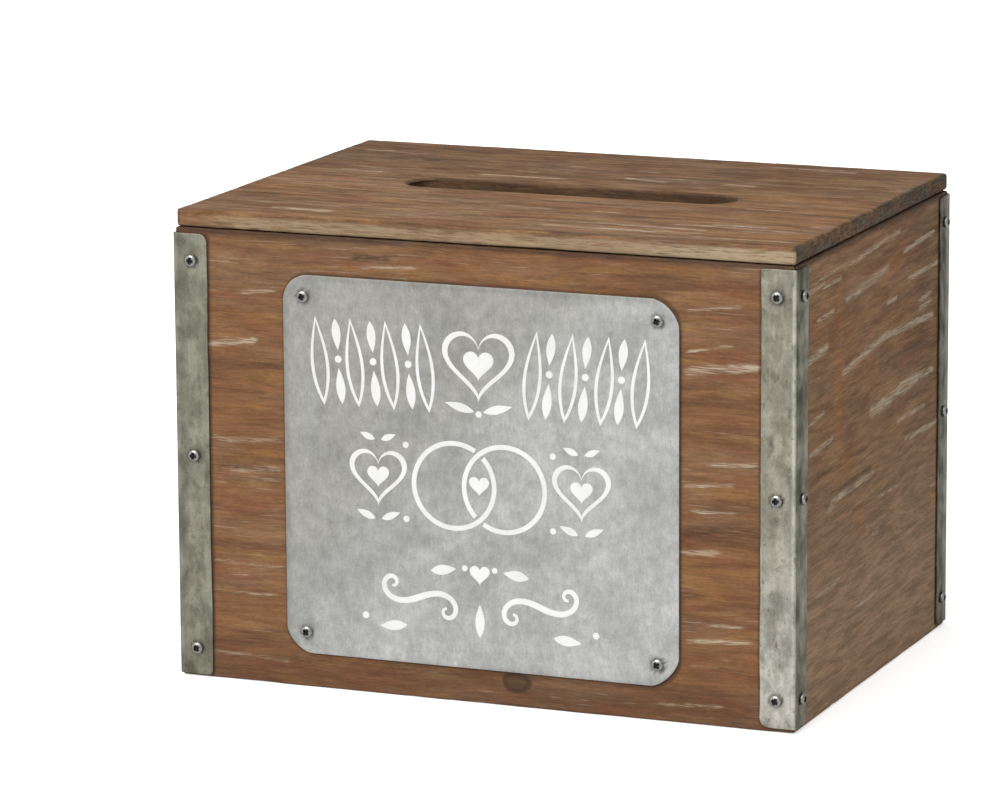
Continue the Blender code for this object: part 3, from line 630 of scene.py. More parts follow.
# ---------------------------------------------------------------- sheet metal
# corner: x side, y side, radii in mm of the top and bottom free corners of the front or back leg and of the
# side leg, wear, seed. Wear is how much patina and painted shade the front or back leg has by the bend and by
# its free edge, the same for the side leg, how bright the painted highlight along the bend is, and how much
# lighter the foot of the front or back leg is painted (if negative, how much darker).
BRACKETS = {
    "front_left": (-1, -1, (4.2, 2.5), (3.0, 3.0), (0.60, 0.05, 0.50, 0.25, 0.2, -0.8), 3),
    "front_right": (1, -1, (1.4, 4.5), (3.2, 2.6), (0.15, 0.00, 1.00, 0.60, 1.0, 0.9), 5),
    "back_right": (1, 1, (2.6, 3.4), (2.6, 3.2), (0.50, 0.20, 0.15, 1.00, 0.4, 0.0), 7),
    "back_left": (-1, 1, (3.0, 2.4), (3.4, 2.8), (0.50, 0.20, 0.60, 0.40, 0.5, 0.2), 9),
}


def dimples(a, b, screws):
    """Depth of the dents that the screws press into a sheet, at flat points (a, b)."""
    total = np.zeros(len(a))
    for centre_a, centre_b in screws:
        apart = ((a - centre_a) ** 2 + (b - centre_b) ** 2) / DIMPLE_REACH ** 2
        total += DIMPLE_DEPTH * np.exp(-apart)
    return total


def screw_centre(node):
    """Middle of a CAD screw's box."""
    low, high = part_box(node)
    return (low + high) / 2


def screw_facing(node):
    """Direction that the head of a CAD screw faces."""
    if "_hinge_" in node:
        return FACINGS["back"]
    if node.startswith("sign_plate"):
        return FACINGS["front"]
    return FACINGS[node.split("_bracket_")[1].split("_")[0]]


def shade_rings(points, owner):
    """Painted shade round the heads of the screws that hold a sheet."""
    total = np.zeros(len(points))
    for node in frame["nodes"]:
        if not node.startswith(owner + "_") or "_screw_" not in node:
            continue
        facing = np.array(screw_facing(node))
        apart = points - np.array(screw_centre(node))
        depth = apart @ facing
        distance = np.linalg.norm(apart - np.outer(depth, facing), axis=1) / MM
        ring = np.exp(-((distance - 3.1) / 0.5) ** 2)
        total = np.maximum(total, np.where(np.abs(depth) < 6 * MM, 0.75 * ring, 0))
    return total


def paint_bracket(mesh, name, corner_x, corner_y, wear):
    """Store where a bracket is dull and where shade is painted on it, where a highlight is painted along its
    bend, how much lighter or darker its foot is, and the painted shade round its screws.
    """
    front_near, front_far, side_near, side_far, bend_highlight, foot = wear
    points = mesh_points(mesh)
    from_x = np.abs(points[:, X] - corner_x) / MM
    from_y = np.abs(points[:, Y] - corner_y) / MM
    height = (points[:, Z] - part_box(name)[0].z) / MM
    # Patina and painted shade: by the bend, along the free edges, down the side leg and more so towards its
    # top under the lid, and at a dark foot.
    on_front = 1 - ramp(from_y, 0.25, 0.9)
    front = front_near + (front_far - front_near) * ramp(from_x, 3.5, 8.5)
    front = np.maximum(front, -foot * (1 - ramp(height, 8, 34)))
    side = side_near + (side_far - side_near) * ramp(from_y, 5.0, 9.0)
    side = side * (0.7 + 0.5 * ramp(height, 30, 190))
    paint(mesh, "patina", np.clip(front * on_front + side * (1 - on_front), 0, 1))
    # Painted highlight: a bright line along the outside of the bend; the foot of the front or back leg is
    # also painted lighter.
    bend = bend_highlight * np.exp(-((from_x - 1.5) / 0.8) ** 2) * (1 - ramp(from_y, 0.2, 0.6))
    paint(mesh, "wear", np.maximum(bend, foot * on_front * (1 - ramp(height, 20, 120))))
    # Painted shade round the screws.
    paint(mesh, "ring", shade_rings(points, name))


def screw_stops(name, leg, axis, corner):
    """Places of a leg's screws: distance from the bracket's corner along an axis, and height on the sheet."""
    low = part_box(name)[0]
    stops = []
    for level in ("bottom", "middle", "top"):
        centre = screw_centre(f"{name}_{leg}_screw_{level}")
        stops.append((abs(centre[axis] - corner), centre.z - low.z))
    return stops


def bracket_mesh(name, corner_x, corner_y, corners_a, corners_b, seed):
    """Bracket folded about its outer corner at (0, 0): leg a runs along +x and leg b along +y."""
    low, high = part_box(name)
    leg_a, leg_b, height = high - low
    y_name, x_name = name.split("_")[:2]
    arc = (BEND_RADIUS - SHEET / 2) * math.pi / 2
    flat_a = leg_a - BEND_RADIUS
    flat_b = leg_b - BEND_RADIUS
    stops_a = np.concatenate([
        np.linspace(0, flat_a, round(flat_a / BRACKET_STEP_LEG) + 1)[:-1],
        np.linspace(flat_a, flat_a + arc, BEND_STEPS + 1)[:-1],
        np.linspace(flat_a + arc, flat_a + arc + flat_b, round(flat_b / BRACKET_STEP_LEG) + 1),
    ])
    stops_z = spaced(0, height, BRACKET_STEP_Z, (0.7 * MM, 1.4 * MM, 2.2 * MM, 3.2 * MM, 4.4 * MM))
    points, faces = sheet_lattice(stops_a, stops_z, SHEET)
    total = flat_a + arc + flat_b
    for edge, inward, radii in ((0, 1, corners_a), (total, -1, corners_b)):
        round_corner(points, (edge, height), (inward, -1), radii[0] * MM)
        round_corner(points, (edge, 0), (inward, 1), radii[1] * MM)
    along, up, depth = points.T
    rows = np.column_stack([up, np.zeros(len(up)), np.zeros(len(up))])
    for edge, inward, extra in ((0, 1, 20), (total, -1, 21)):
        ragged = 0.45 * MM * smooth_noise(rows, (16 * MM, 1, 1), seed + extra)
        ragged += 0.15 * MM * smooth_noise(rows, (4 * MM, 1, 1), seed + extra + 2)
        near = 1 - ramp(np.abs(along - edge), 0, 5 * MM)
        along = along + inward * ragged * near
    stops_on_a = screw_stops(name, y_name, X, corner_x)
    stops_on_b = screw_stops(name, x_name, Y, corner_y)
    screw_places = [(leg_a - reach, level) for reach, level in stops_on_a]
    screw_places += [(total - leg_b + reach, level) for reach, level in stops_on_b]
    sway = smooth_noise(np.column_stack([along, up, np.zeros(len(up))]), (9 * MM, 30 * MM, 1), seed)
    depth = depth - dimples(along, up, screw_places) - SHEET_SWAY * sway
    angle = np.clip((along - flat_a) / arc, 0, 1) * math.pi / 2
    radius = BEND_RADIUS - SHEET + depth
    past_a = np.clip(flat_a - along, 0, None)
    past_b = np.clip(along - flat_a - arc, 0, None)
    x = BEND_RADIUS - radius * np.sin(angle) + past_a
    y = BEND_RADIUS - radius * np.cos(angle) + past_b
    return mesh_from(name + "_sheet", np.column_stack([x, y, up + low.z]), faces)


def add_brackets():
    """Four folded corner brackets."""
    for corner, (side_x, side_y, corners_a, corners_b, wear, seed) in BRACKETS.items():
        name = corner + "_bracket"
        low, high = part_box(name)
        corner_x = high.x if side_x > 0 else low.x
        corner_y = high.y if side_y > 0 else low.y
        mesh = bracket_mesh(name, corner_x, corner_y, corners_a, corners_b, seed)
        place = Matrix.Translation((corner_x, corner_y, 0)) @ Matrix.Diagonal((-side_x, -side_y, 1, 1))
        mesh.transform(place)
        if side_x * side_y < 0:
            mesh.flip_normals()
        mesh = bevelled(mesh, SHEET_EDGE, SHEET_EDGE_ANGLE)
        paint_bracket(mesh, name, corner_x, corner_y, wear)
        smooth(mesh)
        mesh.materials.append(bracket_material(corner, seed))
        stand_in(new_object(name + "_sheet", mesh), name, "box")


def sign_plate_mesh():
    """Thin plate with hand-cut round corners, dented slightly round its screws."""
    low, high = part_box("sign_plate")
    stops_x = spaced(low.x, high.x, SIGN_STEP)
    stops_z = spaced(low.z, high.z, SIGN_STEP)
    points, faces = sheet_lattice(stops_x, stops_z, SIGN_SHEET)
    for side_x, side_z, radius, power in SIGN_CORNERS:
        corner = (high.x if side_x > 0 else low.x, high.z if side_z > 0 else low.z)
        round_corner(points, corner, (-side_x, -side_z), radius * MM, power)
    x, z, height = points.T
    screw_places = []
    for level in ("bottom", "top"):
        for side in ("left", "right"):
            centre = screw_centre(f"sign_plate_screw_{level}_{side}")
            screw_places.append((centre.x, centre.z))
    flat = np.column_stack([x, np.zeros(len(x)), z])
    from_rim = np.minimum.reduce([x - low.x, high.x - x, z - low.z, high.z - z])
    curl = (1 - ramp(from_rim, 0, 14 * MM)) * (smooth_noise(flat, (35 * MM, 1, 35 * MM), 91) - 0.2)
    height = height - dimples(x, z, screw_places) - SIGN_CURL * np.clip(curl, 0, 1)
    return mesh_from("sign_plate_sheet", np.column_stack([x, high.y - height, z]), faces)


def add_sign_plate():
    """The plate on the front."""
    mesh = bevelled(sign_plate_mesh(), SHEET_EDGE, SHEET_EDGE_ANGLE)
    points = mesh_points(mesh)
    low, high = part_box("sign_plate")
    from_left_or_top = np.minimum(points[:, X] - low.x, high.z - points[:, Z]) / MM
    paint(mesh, "rim", np.exp(-(from_left_or_top / 2.2) ** 2))
    # Painted shade round the screws.
    paint(mesh, "ring", shade_rings(points, "sign_plate"))
    smooth(mesh)
    mesh.materials.append(sign_material())
    stand_in(new_object("sign_plate_sheet", mesh), "sign_plate", "box")


# ---------------------------------------------------------------- screws
def screw_profile(head_radius, head_height, shank_radius, length, pitch):
    """Profile of a pan-head screw from the top of its head to its point, with its underside just below 0."""
    shoulder = 0.32 * head_height
    profile = [(0, head_height)]
    for step in range(1, 9):
        angle = step * math.pi / 16
        radius = head_radius * math.sin(angle) ** 0.8
        profile.append((radius, shoulder + (head_height - shoulder) * math.cos(angle) ** 0.9))
    profile.append((head_radius, 0.1 * head_height))
    profile.append((0.96 * head_radius, -0.6 * HEAD_SINK))
    profile.append((0.90 * head_radius, -HEAD_SINK))
    rings = round(length / (pitch / 6))
    for ring in range(rings):
        depth = HEAD_SINK + (length - HEAD_SINK) * ring / rings
        taper = min(1, (length - depth) / (2.2 * shank_radius))
        profile.append((shank_radius * (0.15 + 0.85 * taper), -depth))
    profile.append((0, -length))
    return profile


def cross_cutter(head_height, scale):
    """Tapered cross-shaped tool for a screw's recess."""
    levels = ((head_height + 0.5 * MM * scale, 2.15, 0.98), (head_height - RECESS_DEPTH * scale, 0.85, 0.42))
    points = []
    for z, reach, half in levels:
        for turn in range(4):
            angle = turn * math.pi / 2
            for x, y in ((reach, -half), (reach, half), (half, half)):
                points.append((
                    (x * math.cos(angle) - y * math.sin(angle)) * scale * MM,
                    (x * math.sin(angle) + y * math.cos(angle)) * scale * MM,
                    z,
                ))
    faces = [list(range(12)), list(range(23, 11, -1))]
    faces += [(corner, 12 + corner, 12 + (corner + 1) % 12, (corner + 1) % 12) for corner in range(12)]
    mesh = mesh_from("recess_cutter", points, faces)
    mesh.materials.append(STEEL)
    mesh.materials.append(RECESS)
    mesh.polygons.foreach_set("material_index", [1] * len(mesh.polygons))
    return mesh


def screw_mesh(name, head_radius, head_height, shank_radius, length, steps):
    """Pan-head screw along z with a turned thread and a cross recess, whose faces use the second material."""
    pitch = 0.75 * shank_radius
    points, faces = turned(screw_profile(head_radius, head_height, shank_radius, length, pitch), steps)
    on_shank = (points[:, 2] < -1.6 * HEAD_SINK) & (points[:, 2] > -length + 0.1 * MM)
    turn = np.arctan2(points[:, 1], points[:, 0]) / (2 * math.pi)
    phase = (points[:, 2] / pitch - turn) % 1
    crest = np.clip(1 - 3.2 * np.abs(phase - 0.5), 0, 1)
    points[on_shank, :2] *= (0.74 + 0.26 * crest)[on_shank, None]
    mesh = mesh_from(name, points, faces)
    mesh.materials.append(STEEL)
    mesh.materials.append(RECESS)
    mesh = cut(mesh, cross_cutter(head_height, head_radius / PAN_HEAD[0]))
    smooth(mesh, math.radians(32))
    return mesh


def add_screw(node, mesh, head_height, turn):
    """Screw in the place of a CAD screw, turned about its own axis."""
    facing = screw_facing(node)
    low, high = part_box(node)
    head_top = screw_centre(node) + facing * abs((high - low).dot(facing)) / 2
    screw = new_object(node + "_steel", mesh)
    upright = facing.to_track_quat("Z", "Y").to_matrix().to_4x4()
    seat = Matrix.Translation(head_top - facing * head_height)
    screw.matrix_world = seat @ upright @ Matrix.Rotation(turn, 4, "Z")
    stand_in(screw, node, "lid" if "_lid_" in node else "box")


def add_screws():
    """Every screw: 24 in the brackets, 4 in the sign plate and 8 in the hinges."""
    draw = np.random.default_rng(SCREW_TURN_SEED)
    wide = screw_mesh("pan_head", *PAN_HEAD)
    small = screw_mesh("small_pan_head", *SMALL_PAN_HEAD)
    for node in sorted(frame["nodes"]):
        if "_screw_" in node:
            turn = draw.uniform(0, math.pi / 2)
            mesh, sizes = (small, SMALL_PAN_HEAD) if "_hinge_" in node else (wide, PAN_HEAD)
            add_screw(node, mesh, sizes[1], turn)


# ---------------------------------------------------------------- hinges
def leaf_mesh(name, length, reach, up, middle_knuckle):
    """Hinge leaf cut from strip and rolled about the pin's axis, which is the x axis."""
    half = length / 2
    middle_radius = BARREL_RADIUS - LEAF_SHEET / 2
    wrap = middle_radius * BARREL_WRAP
    inner = KNUCKLE_HALF if middle_knuckle else KNUCKLE_HALF + KNUCKLE_GAP
    side = np.linspace(inner, half, round((half - inner) / LEAF_STEP) + 1)
    middle = np.linspace(-inner, inner, round(2 * inner / LEAF_STEP) + 1)
    stops_x = np.concatenate([-side[::-1], middle[1:-1], side])
    stops_b = np.concatenate([
        np.linspace(0, reach - LEAF_SHOULDER, 8)[:-1],
        np.linspace(reach - LEAF_SHOULDER, reach, 4)[:-1],
        np.linspace(reach, reach + wrap, 30),
    ])
    cell_x = (stops_x[:-1] + stops_x[1:]) / 2
    cell_b = (stops_b[:-1] + stops_b[1:]) / 2
    in_middle = np.abs(cell_x) < inner
    cut_away = ~in_middle if middle_knuckle else in_middle
    missing = cut_away[:, None] & (cell_b > reach - LEAF_SHOULDER)[None, :]
    points, faces = sheet_lattice(stops_x, stops_b, LEAF_SHEET, missing)
    for corner in (-half, half):
        round_corner(points, (corner, 0), (-1 if corner > 0 else 1, 1), LEAF_CORNER)
    x, along, depth = points.T
    angle = np.clip(along - reach, 0, None) / middle_radius
    radius = BARREL_RADIUS - depth
    below = np.clip(reach - along, 0, None)
    y = -radius * np.cos(angle)
    z = -up * (radius * np.sin(angle) - below)
    mesh = mesh_from(name, np.column_stack([x, y, z]), faces)
    return bevelled(mesh, LEAF_EDGE, math.radians(50))


def pin_mesh(length):
    """Hinge pin along x with a domed head at each end."""
    shank_end = length / 2 - PIN_HEAD
    upper = [(0, length / 2)]
    for step in range(1, 6):
        angle = step * math.pi / 10
        height = shank_end + 0.2 * PIN_HEAD + 0.8 * PIN_HEAD * math.cos(angle)
        upper.append((PIN_HEAD_RADIUS * math.sin(angle), height))
    upper += [(PIN_HEAD_RADIUS, shank_end), (PIN_RADIUS, shank_end)]
    shank = [(PIN_RADIUS, height) for height in np.linspace(shank_end, -shank_end, 12)[1:-1]]
    lower = [(ring, -height) for ring, height in reversed(upper)]
    points, faces = turned(upper + shank + lower, PIN_STEPS)
    return mesh_from("hinge_pin", points[:, [2, 0, 1]], faces)


def add_hinges():
    """Two butt hinges on the back."""
    axis = Vector(frame["joints"][0]["pos_m"])
    for hinge in ("left", "right"):
        for leaf, up, body in (("body_leaf", -1, "box"), ("lid_leaf", 1, "lid")):
            node = f"{hinge}_hinge_{leaf}"
            low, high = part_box(node)
            reach = (axis.z - low.z) if up < 0 else (high.z - axis.z)
            length = min(high.x - low.x, HINGE_LENGTH)
            mesh = leaf_mesh(node + "_steel", length, reach, up, leaf == "lid_leaf")
            centre_x = (low.x + high.x) / 2
            mesh.transform(Matrix.Translation((centre_x, axis.y, axis.z)))
            smooth(mesh)
            mesh.materials.append(HINGE_STEEL)
            stand_in(new_object(node + "_steel", mesh), node, body)
        node = f"{hinge}_hinge_pin"
        low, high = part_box(node)
        mesh = pin_mesh(high.x - low.x)
        mesh.transform(Matrix.Translation((low + high) / 2))
        smooth(mesh)
        mesh.materials.append(HINGE_STEEL)
        stand_in(new_object(node + "_steel", mesh), node, "box")


# ---------------------------------------------------------------- the painted motif
def stroke_outline(path, widths):
    """Closed outline of a brush stroke along a path of points."""
    path = np.asarray(path, float)
    ahead = np.gradient(path, axis=0)
    ahead /= np.linalg.norm(ahead, axis=1)[:, None]
    beside = np.column_stack([-ahead[:, 1], ahead[:, 0]]) * (np.asarray(widths) / 2)[:, None]
    return np.vstack([path + beside, (path - beside)[::-1]])


def arc_path(centre, radius, start, end, steps):
    """Points along an arc."""
    angles = np.linspace(start, end, steps)
    return np.column_stack([centre[0] + radius * np.cos(angles), centre[1] + radius * np.sin(angles)])


def heart(centre, width, steps=64):
    """Outline of a heart."""
    angle = np.arange(steps) * 2 * math.pi / steps
    x = 16 * np.sin(angle) ** 3
    y = 13 * np.cos(angle) - 5 * np.cos(2 * angle) - 2 * np.cos(3 * angle) - np.cos(4 * angle)
    scale = width / 32
    return np.column_stack([centre[0] + scale * x, centre[1] + scale * (y + 2.5)])


def heart_line(centre, width, stroke):
    """Two outlines that leave a heart drawn as a line."""
    inner_width = width - 2.5 * stroke
    return [heart(centre, width), heart((centre[0], centre[1] + 0.2 * stroke), inner_width)]


def dot(centre, radius, steps=20):
    """Outline of a dot."""
    return arc_path(centre, radius, 0, 2 * math.pi * (1 - 1 / steps), steps)


def leaf(base, length, width, angle, bend=0.0, steps=14):
    """Outline of a pointed leaf that grows from its base."""
    share = np.linspace(0, 1, steps)
    half = width / 2 * np.sin(math.pi * share ** 0.85)
    side = np.column_stack([share * length, bend * length * share ** 2])
    upper = side + np.column_stack([np.zeros(steps), half])
    lower = side - np.column_stack([np.zeros(steps), half])
    outline = np.vstack([upper, lower[-2:0:-1]])
    turn = np.array([[math.cos(angle), -math.sin(angle)], [math.sin(angle), math.cos(angle)]])
    return outline @ turn.T + np.asarray(base)


def leaf_line(base, length, width, angle, stroke, bend=0.0):
    """Two outlines that leave a leaf drawn as a line."""
    ahead = np.array([math.cos(angle), math.sin(angle)])
    inner_base = np.asarray(base) + ahead * stroke * 1.9
    return [leaf(base, length, width, angle, bend),
            leaf(inner_base, length - 3.6 * stroke, width - 2.1 * stroke, angle, bend * 0.9)]


def scroll_path(start, end, turns):
    """Scroll shaped like a lying S between two points, curling up more and more towards both ends."""
    share = np.linspace(-1, 1, 161)
    curl = np.sign(share) * np.abs(share) ** 0.9 * (1 + 1.6 * share ** 4)
    heading = np.concatenate([[0], np.cumsum((curl[1:] + curl[:-1]) / 2)])
    heading *= 2 * math.pi * turns / (heading[0] - heading.min())
    path = np.cumsum(np.column_stack([np.cos(heading), np.sin(heading)]), axis=0)
    across = path[-1] - path[0]
    target = np.asarray(end, float) - np.asarray(start, float)
    scale = np.linalg.norm(target) / np.linalg.norm(across)
    turn = math.atan2(target[1], target[0]) - math.atan2(across[1], across[0])
    spin = np.array([[math.cos(turn), -math.sin(turn)], [math.sin(turn), math.cos(turn)]])
    return (path - path[0]) @ spin.T * scale + np.asarray(start)


def mirrored(outlines):
    """Outlines together with their mirror images left and right."""
    flipped = [outline * np.array([-1, 1]) for outline in outlines]
    return list(outlines) + flipped


def garland_row(height):
    """A band of tall leaves and buds on both sides of a heart."""
    half = []
    lean = math.radians(84)
    for index in range(4):
        x = 24.5 + index * 17.6
        half += leaf_line((x, height - 21), 42, 9.2, lean, 1.5)
        if index < 3:
            half.append(leaf((x + 8.4, height - 20), 17, 4.6, lean))
            half.append(leaf((x + 12.0, height + 20), 15, 4.4, lean + math.pi))
            half.append(dot((x + 10.4, height + 1), 1.7))
    shapes = mirrored(half)
    shapes += heart_line((0, height + 2), 36, 2.2)
    shapes.append(heart((0, height + 2.4), 15))
    shapes += mirrored([leaf((2.2, height - 19), 15, 4.0, math.radians(14))])
    shapes.append(dot((0, height - 20), 1.5))
    return shapes


def ring_row(height):
    """Two linked rings between hearts."""
    radius, stroke, apart = 20.0, 2.3, 12.5
    crossing = math.acos(apart / radius)
    gap = 0.125
    wide = 2 * math.pi - gap
    left = arc_path((-apart, height), radius, crossing + gap, crossing + wide, 90)
    right = arc_path((apart, height), radius, math.pi + crossing + gap, math.pi + crossing + wide, 90)
    shapes = [stroke_outline(path, np.full(len(path), stroke)) for path in (left, right)]
    half = heart_line((50.5, height + 1), 29, 2.0)
    half.append(heart((50.5, height + 1.4), 11))
    half += [dot((36.5, height + rise), 1.5) for rise in (17.5, -17.5)]
    for rise, length, width in ((-18.5, 10, 3.4), (19.0, 8, 3.0)):
        for side in (-1, 1):
            half.append(leaf((50.5 + side * 1.6, height + rise), length, width, math.radians(90 - 68 * side)))
    shapes += mirrored(half)
    shapes.append(heart((0, height + 0.5), 10))
    return shapes


def flourish_row(height):
    """Mirrored scrolls with a small heart between them."""
    taper = np.interp(np.linspace(0, 1, 161), [0, 0.12, 0.5, 0.88, 1], [1.2, 2.2, 3.0, 2.2, 1.2])
    half = [stroke_outline(scroll_path((16.5, height - 4.5), (44, height + 4.5), 1.1), taper)]
    half.append(leaf((24.5, height + 13), 13, 4.8, math.radians(172)))
    half.append(leaf((36.5, height - 14), 14, 4.8, math.radians(-6)))
    half += [dot((57.5, height - 11), 1.6), dot((7.5, height + 15.5), 1.4)]
    shapes = mirrored(half)
    shapes.append(heart((0, height + 12.5), 10))
    shapes.append(leaf((0, height - 17), 16, 4.6, math.radians(90)))
    return shapes


def add_motif():
    """Off-white painted pattern on the sign plate."""
    low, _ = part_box("sign_plate")
    curve = bpy.data.curves.new("sign_motif", "CURVE")
    curve.dimensions = "2D"
    curve.fill_mode = "BOTH"
    curve.extrude = MOTIF_PROUD
    for outline in garland_row(GARLAND_HEIGHT) + ring_row(RINGS_HEIGHT) + flourish_row(FLOURISH_HEIGHT):
        spline = curve.splines.new("POLY")
        spline.points.add(len(outline) - 1)
        for point, (x, z) in zip(spline.points, outline):
            point.co = (x * MM, z * MM, 0, 1)
        spline.use_cyclic_u = True
    blank = new_object("sign_motif_blank", curve)
    graph = bpy.context.evaluated_depsgraph_get()
    mesh = bpy.data.meshes.new_from_object(blank.evaluated_get(graph), depsgraph=graph)
    bpy.data.objects.remove(blank)
    bm = bmesh.new()
    bm.from_mesh(mesh)
    bmesh.ops.remove_doubles(bm, verts=bm.verts, dist=0.002 * MM)
    bmesh.ops.recalc_face_normals(bm, faces=bm.faces)
    bm.to_mesh(mesh)
    bm.free()
    upright = Matrix.Rotation(math.pi / 2, 4, "X")
    mesh.transform(Matrix.Translation((0, low.y, 0)) @ upright)
    smooth(mesh)
    mesh.materials.clear()
    mesh.materials.append(paint_material())
    motif = new_object("sign_motif", mesh)
    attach(motif, "box")


# ---------------------------------------------------------------- materials
# noises in the grain: patch along, across and into the board in mm, detail and roughness
GRAIN_PATTERNS = {
    "band": ((80, 9, 9), 3),
    "reds": ((50, 9, 9), 3),
    "yellows": ((46, 7, 7), 3),
    "fibre": ((15, 1.1, 1.1), 3, 0.6),
    "fine": ((5, 0.42, 0.42), 2),
    "pores": ((4.5, 0.36, 0.36), 1),
    "mottle": ((2.4, 1.2, 1.2), 2, 0.6),
    "patchy": ((60, 20, 20), 3),
    "broken": ((10, 0.8, 0.8), 3, 0.65),
    "hairs": ((7, 0.55, 0.55), 3, 0.65),
    "threads": ((16, 0.65, 0.65), 2, 0.6),
    "stray": ((24, 0.6, 0.6), 2),
    "lines": ((22, 0.8, 0.8), 3),
    "blotch": ((25, 3.8, 3.8), 3, 0.6),
}


class Value:
    """A number worked out by nodes, for sums with other such numbers and plain ones."""

    def __init__(self, graph, socket):
        self.graph = graph
        self.socket = socket

    def __add__(self, other):
        return self.graph.math("ADD", self, other)

    def __sub__(self, other):
        return self.graph.math("SUBTRACT", self, other)

    def __mul__(self, other):
        return self.graph.math("MULTIPLY", self, other)

    def __truediv__(self, other):
        return self.graph.math("DIVIDE", self, other)

    def __abs__(self):
        return self.graph.math("ABSOLUTE", self)

    def ramp(self, low, high, start=0.0, end=1.0):
        """Eased from start to end as this number goes from low to high."""
        node = self.graph.add("ShaderNodeMapRange", interpolation_type="SMOOTHSTEP")
        for socket, number in zip(node.inputs, (self, low, high, start, end)):
            self.graph.feed(socket, number)
        return Value(self.graph, node.outputs[0])


class Graph:
    """The nodes of a material or a world, with short calls for the kinds used here, and lengths in mm."""

    def __init__(self, owner):
        owner.use_nodes = True
        self.owner = owner
        self.tree = owner.node_tree
        self.tree.nodes.clear()

    def add(self, kind, **settings):
        """A new node."""
        node = self.tree.nodes.new(kind)
        for key, value in settings.items():
            setattr(node, key, value)
        return node

    def feed(self, socket, value):
        """Link an output into a socket, or set its value."""
        if isinstance(value, Value):
            value = value.socket
        if isinstance(value, bpy.types.NodeSocket):
            self.tree.links.new(value, socket)
        elif hasattr(socket.default_value, "__len__") and len(value) == 3 and len(socket.default_value) == 4:
            socket.default_value = (*value, 1)
        else:
            socket.default_value = value

    def math(self, operation, a, b=0.0):
        """One number from one or two."""
        node = self.add("ShaderNodeMath", operation=operation)
        self.feed(node.inputs[0], a)
        self.feed(node.inputs[1], b)
        return Value(self, node.outputs[0])

    def largest(self, first, *others):
        """The largest of some numbers."""
        for other in others:
            first = self.math("MAXIMUM", first, other)
        return first

    def vector(self, operation, a, b):
        """One vector from two."""
        node = self.add("ShaderNodeVectorMath", operation=operation)
        self.feed(node.inputs[0], a)
        self.feed(node.inputs[1], b)
        return node.outputs[0]

    def join(self, *numbers):
        """A vector from three numbers."""
        node = self.add("ShaderNodeCombineXYZ")
        for socket, number in zip(node.inputs, numbers):
            self.feed(socket, number)
        return node.outputs[0]

    def parts(self, vector):
        """The three numbers of a vector."""
        node = self.add("ShaderNodeSeparateXYZ")
        self.feed(node.inputs[0], vector)
        return [Value(self, socket) for socket in node.outputs]

    def place(self, axes=(X, Y, Z), shift=(0, 0, 0)):
        """Position on the piece in mm, with its axes reordered."""
        source = self.add("ShaderNodeTexCoord").outputs["Object"]
        parts = self.parts(self.vector("MULTIPLY", source, (1000, 1000, 1000)))
        return self.vector("ADD", self.join(*(parts[axis] for axis in axes)), shift)

    def texture(self, kind, place, patch, **settings):
        """Node of a texture with patches of the given size along each axis."""
        node = self.add(kind, **settings)
        self.feed(node.inputs["Vector"], self.vector("DIVIDE", place, patch))
        self.feed(node.inputs["Scale"], 1.0)
        return node

    def noise(self, place, patch, detail=2.0, roughness=0.55):
        """Noise from 0 to 1."""
        node = self.texture("ShaderNodeTexNoise", place, patch, noise_dimensions="3D")
        self.feed(node.inputs["Detail"], detail)
        self.feed(node.inputs["Roughness"], roughness)
        return Value(self, node.outputs[0])

    def cells(self, place, patch):
        """A flat random tone for each crystal."""
        node = self.texture("ShaderNodeTexVoronoi", place, patch, voronoi_dimensions="3D", feature="F1")
        return self.parts(node.outputs["Color"])[0]

    def painted(self, name):
        """The number stored on the mesh under a name."""
        return Value(self, self.add("ShaderNodeAttribute", attribute_name=name).outputs["Fac"])

    def mix(self, share, a, b):
        """One colour from two."""
        node = self.add("ShaderNodeMix", data_type="RGBA")
        for index, value in ((0, share), (6, a), (7, b)):
            self.feed(node.inputs[index], value)
        return node.outputs[2]

    def shade(self, colour, amount, *factors):
        """A colour made lighter or darker by numbers round 1."""
        for factor in factors:
            amount = amount * factor
        scale = self.add("ShaderNodeVectorMath", operation="SCALE")
        self.feed(scale.inputs[0], colour)
        self.feed(scale.inputs["Scale"], amount)
        return scale.outputs[0]

    def finish(self, colour, roughness, metallic=0.0, specular=0.5, height=None, depth=0.1, glow=0.0):
        """The finished material; depth is the relief in mm for a height of 1, and glow its own light."""
        shader = self.add("ShaderNodeBsdfPrincipled")
        inputs = {
            "Base Color": colour,
            "Roughness": roughness,
            "Metallic": metallic,
            "Specular IOR Level": specular,
            "Emission Strength": glow,
        }
        if height is not None:
            bump = self.add("ShaderNodeBump")
            self.feed(bump.inputs["Strength"], 1.0)
            self.feed(bump.inputs["Distance"], depth * MM)
            self.feed(bump.inputs["Height"], height)
            inputs["Normal"] = bump.outputs["Normal"]
        for name, value in inputs.items():
            self.feed(shader.inputs[name], value)
        output = self.add("ShaderNodeOutputMaterial")
        self.feed(output.inputs["Surface"], shader.outputs["BSDF"])
        return self.owner


def material_graph(name):
    """Graph of a new material."""
    return Graph(bpy.data.materials.new(name))


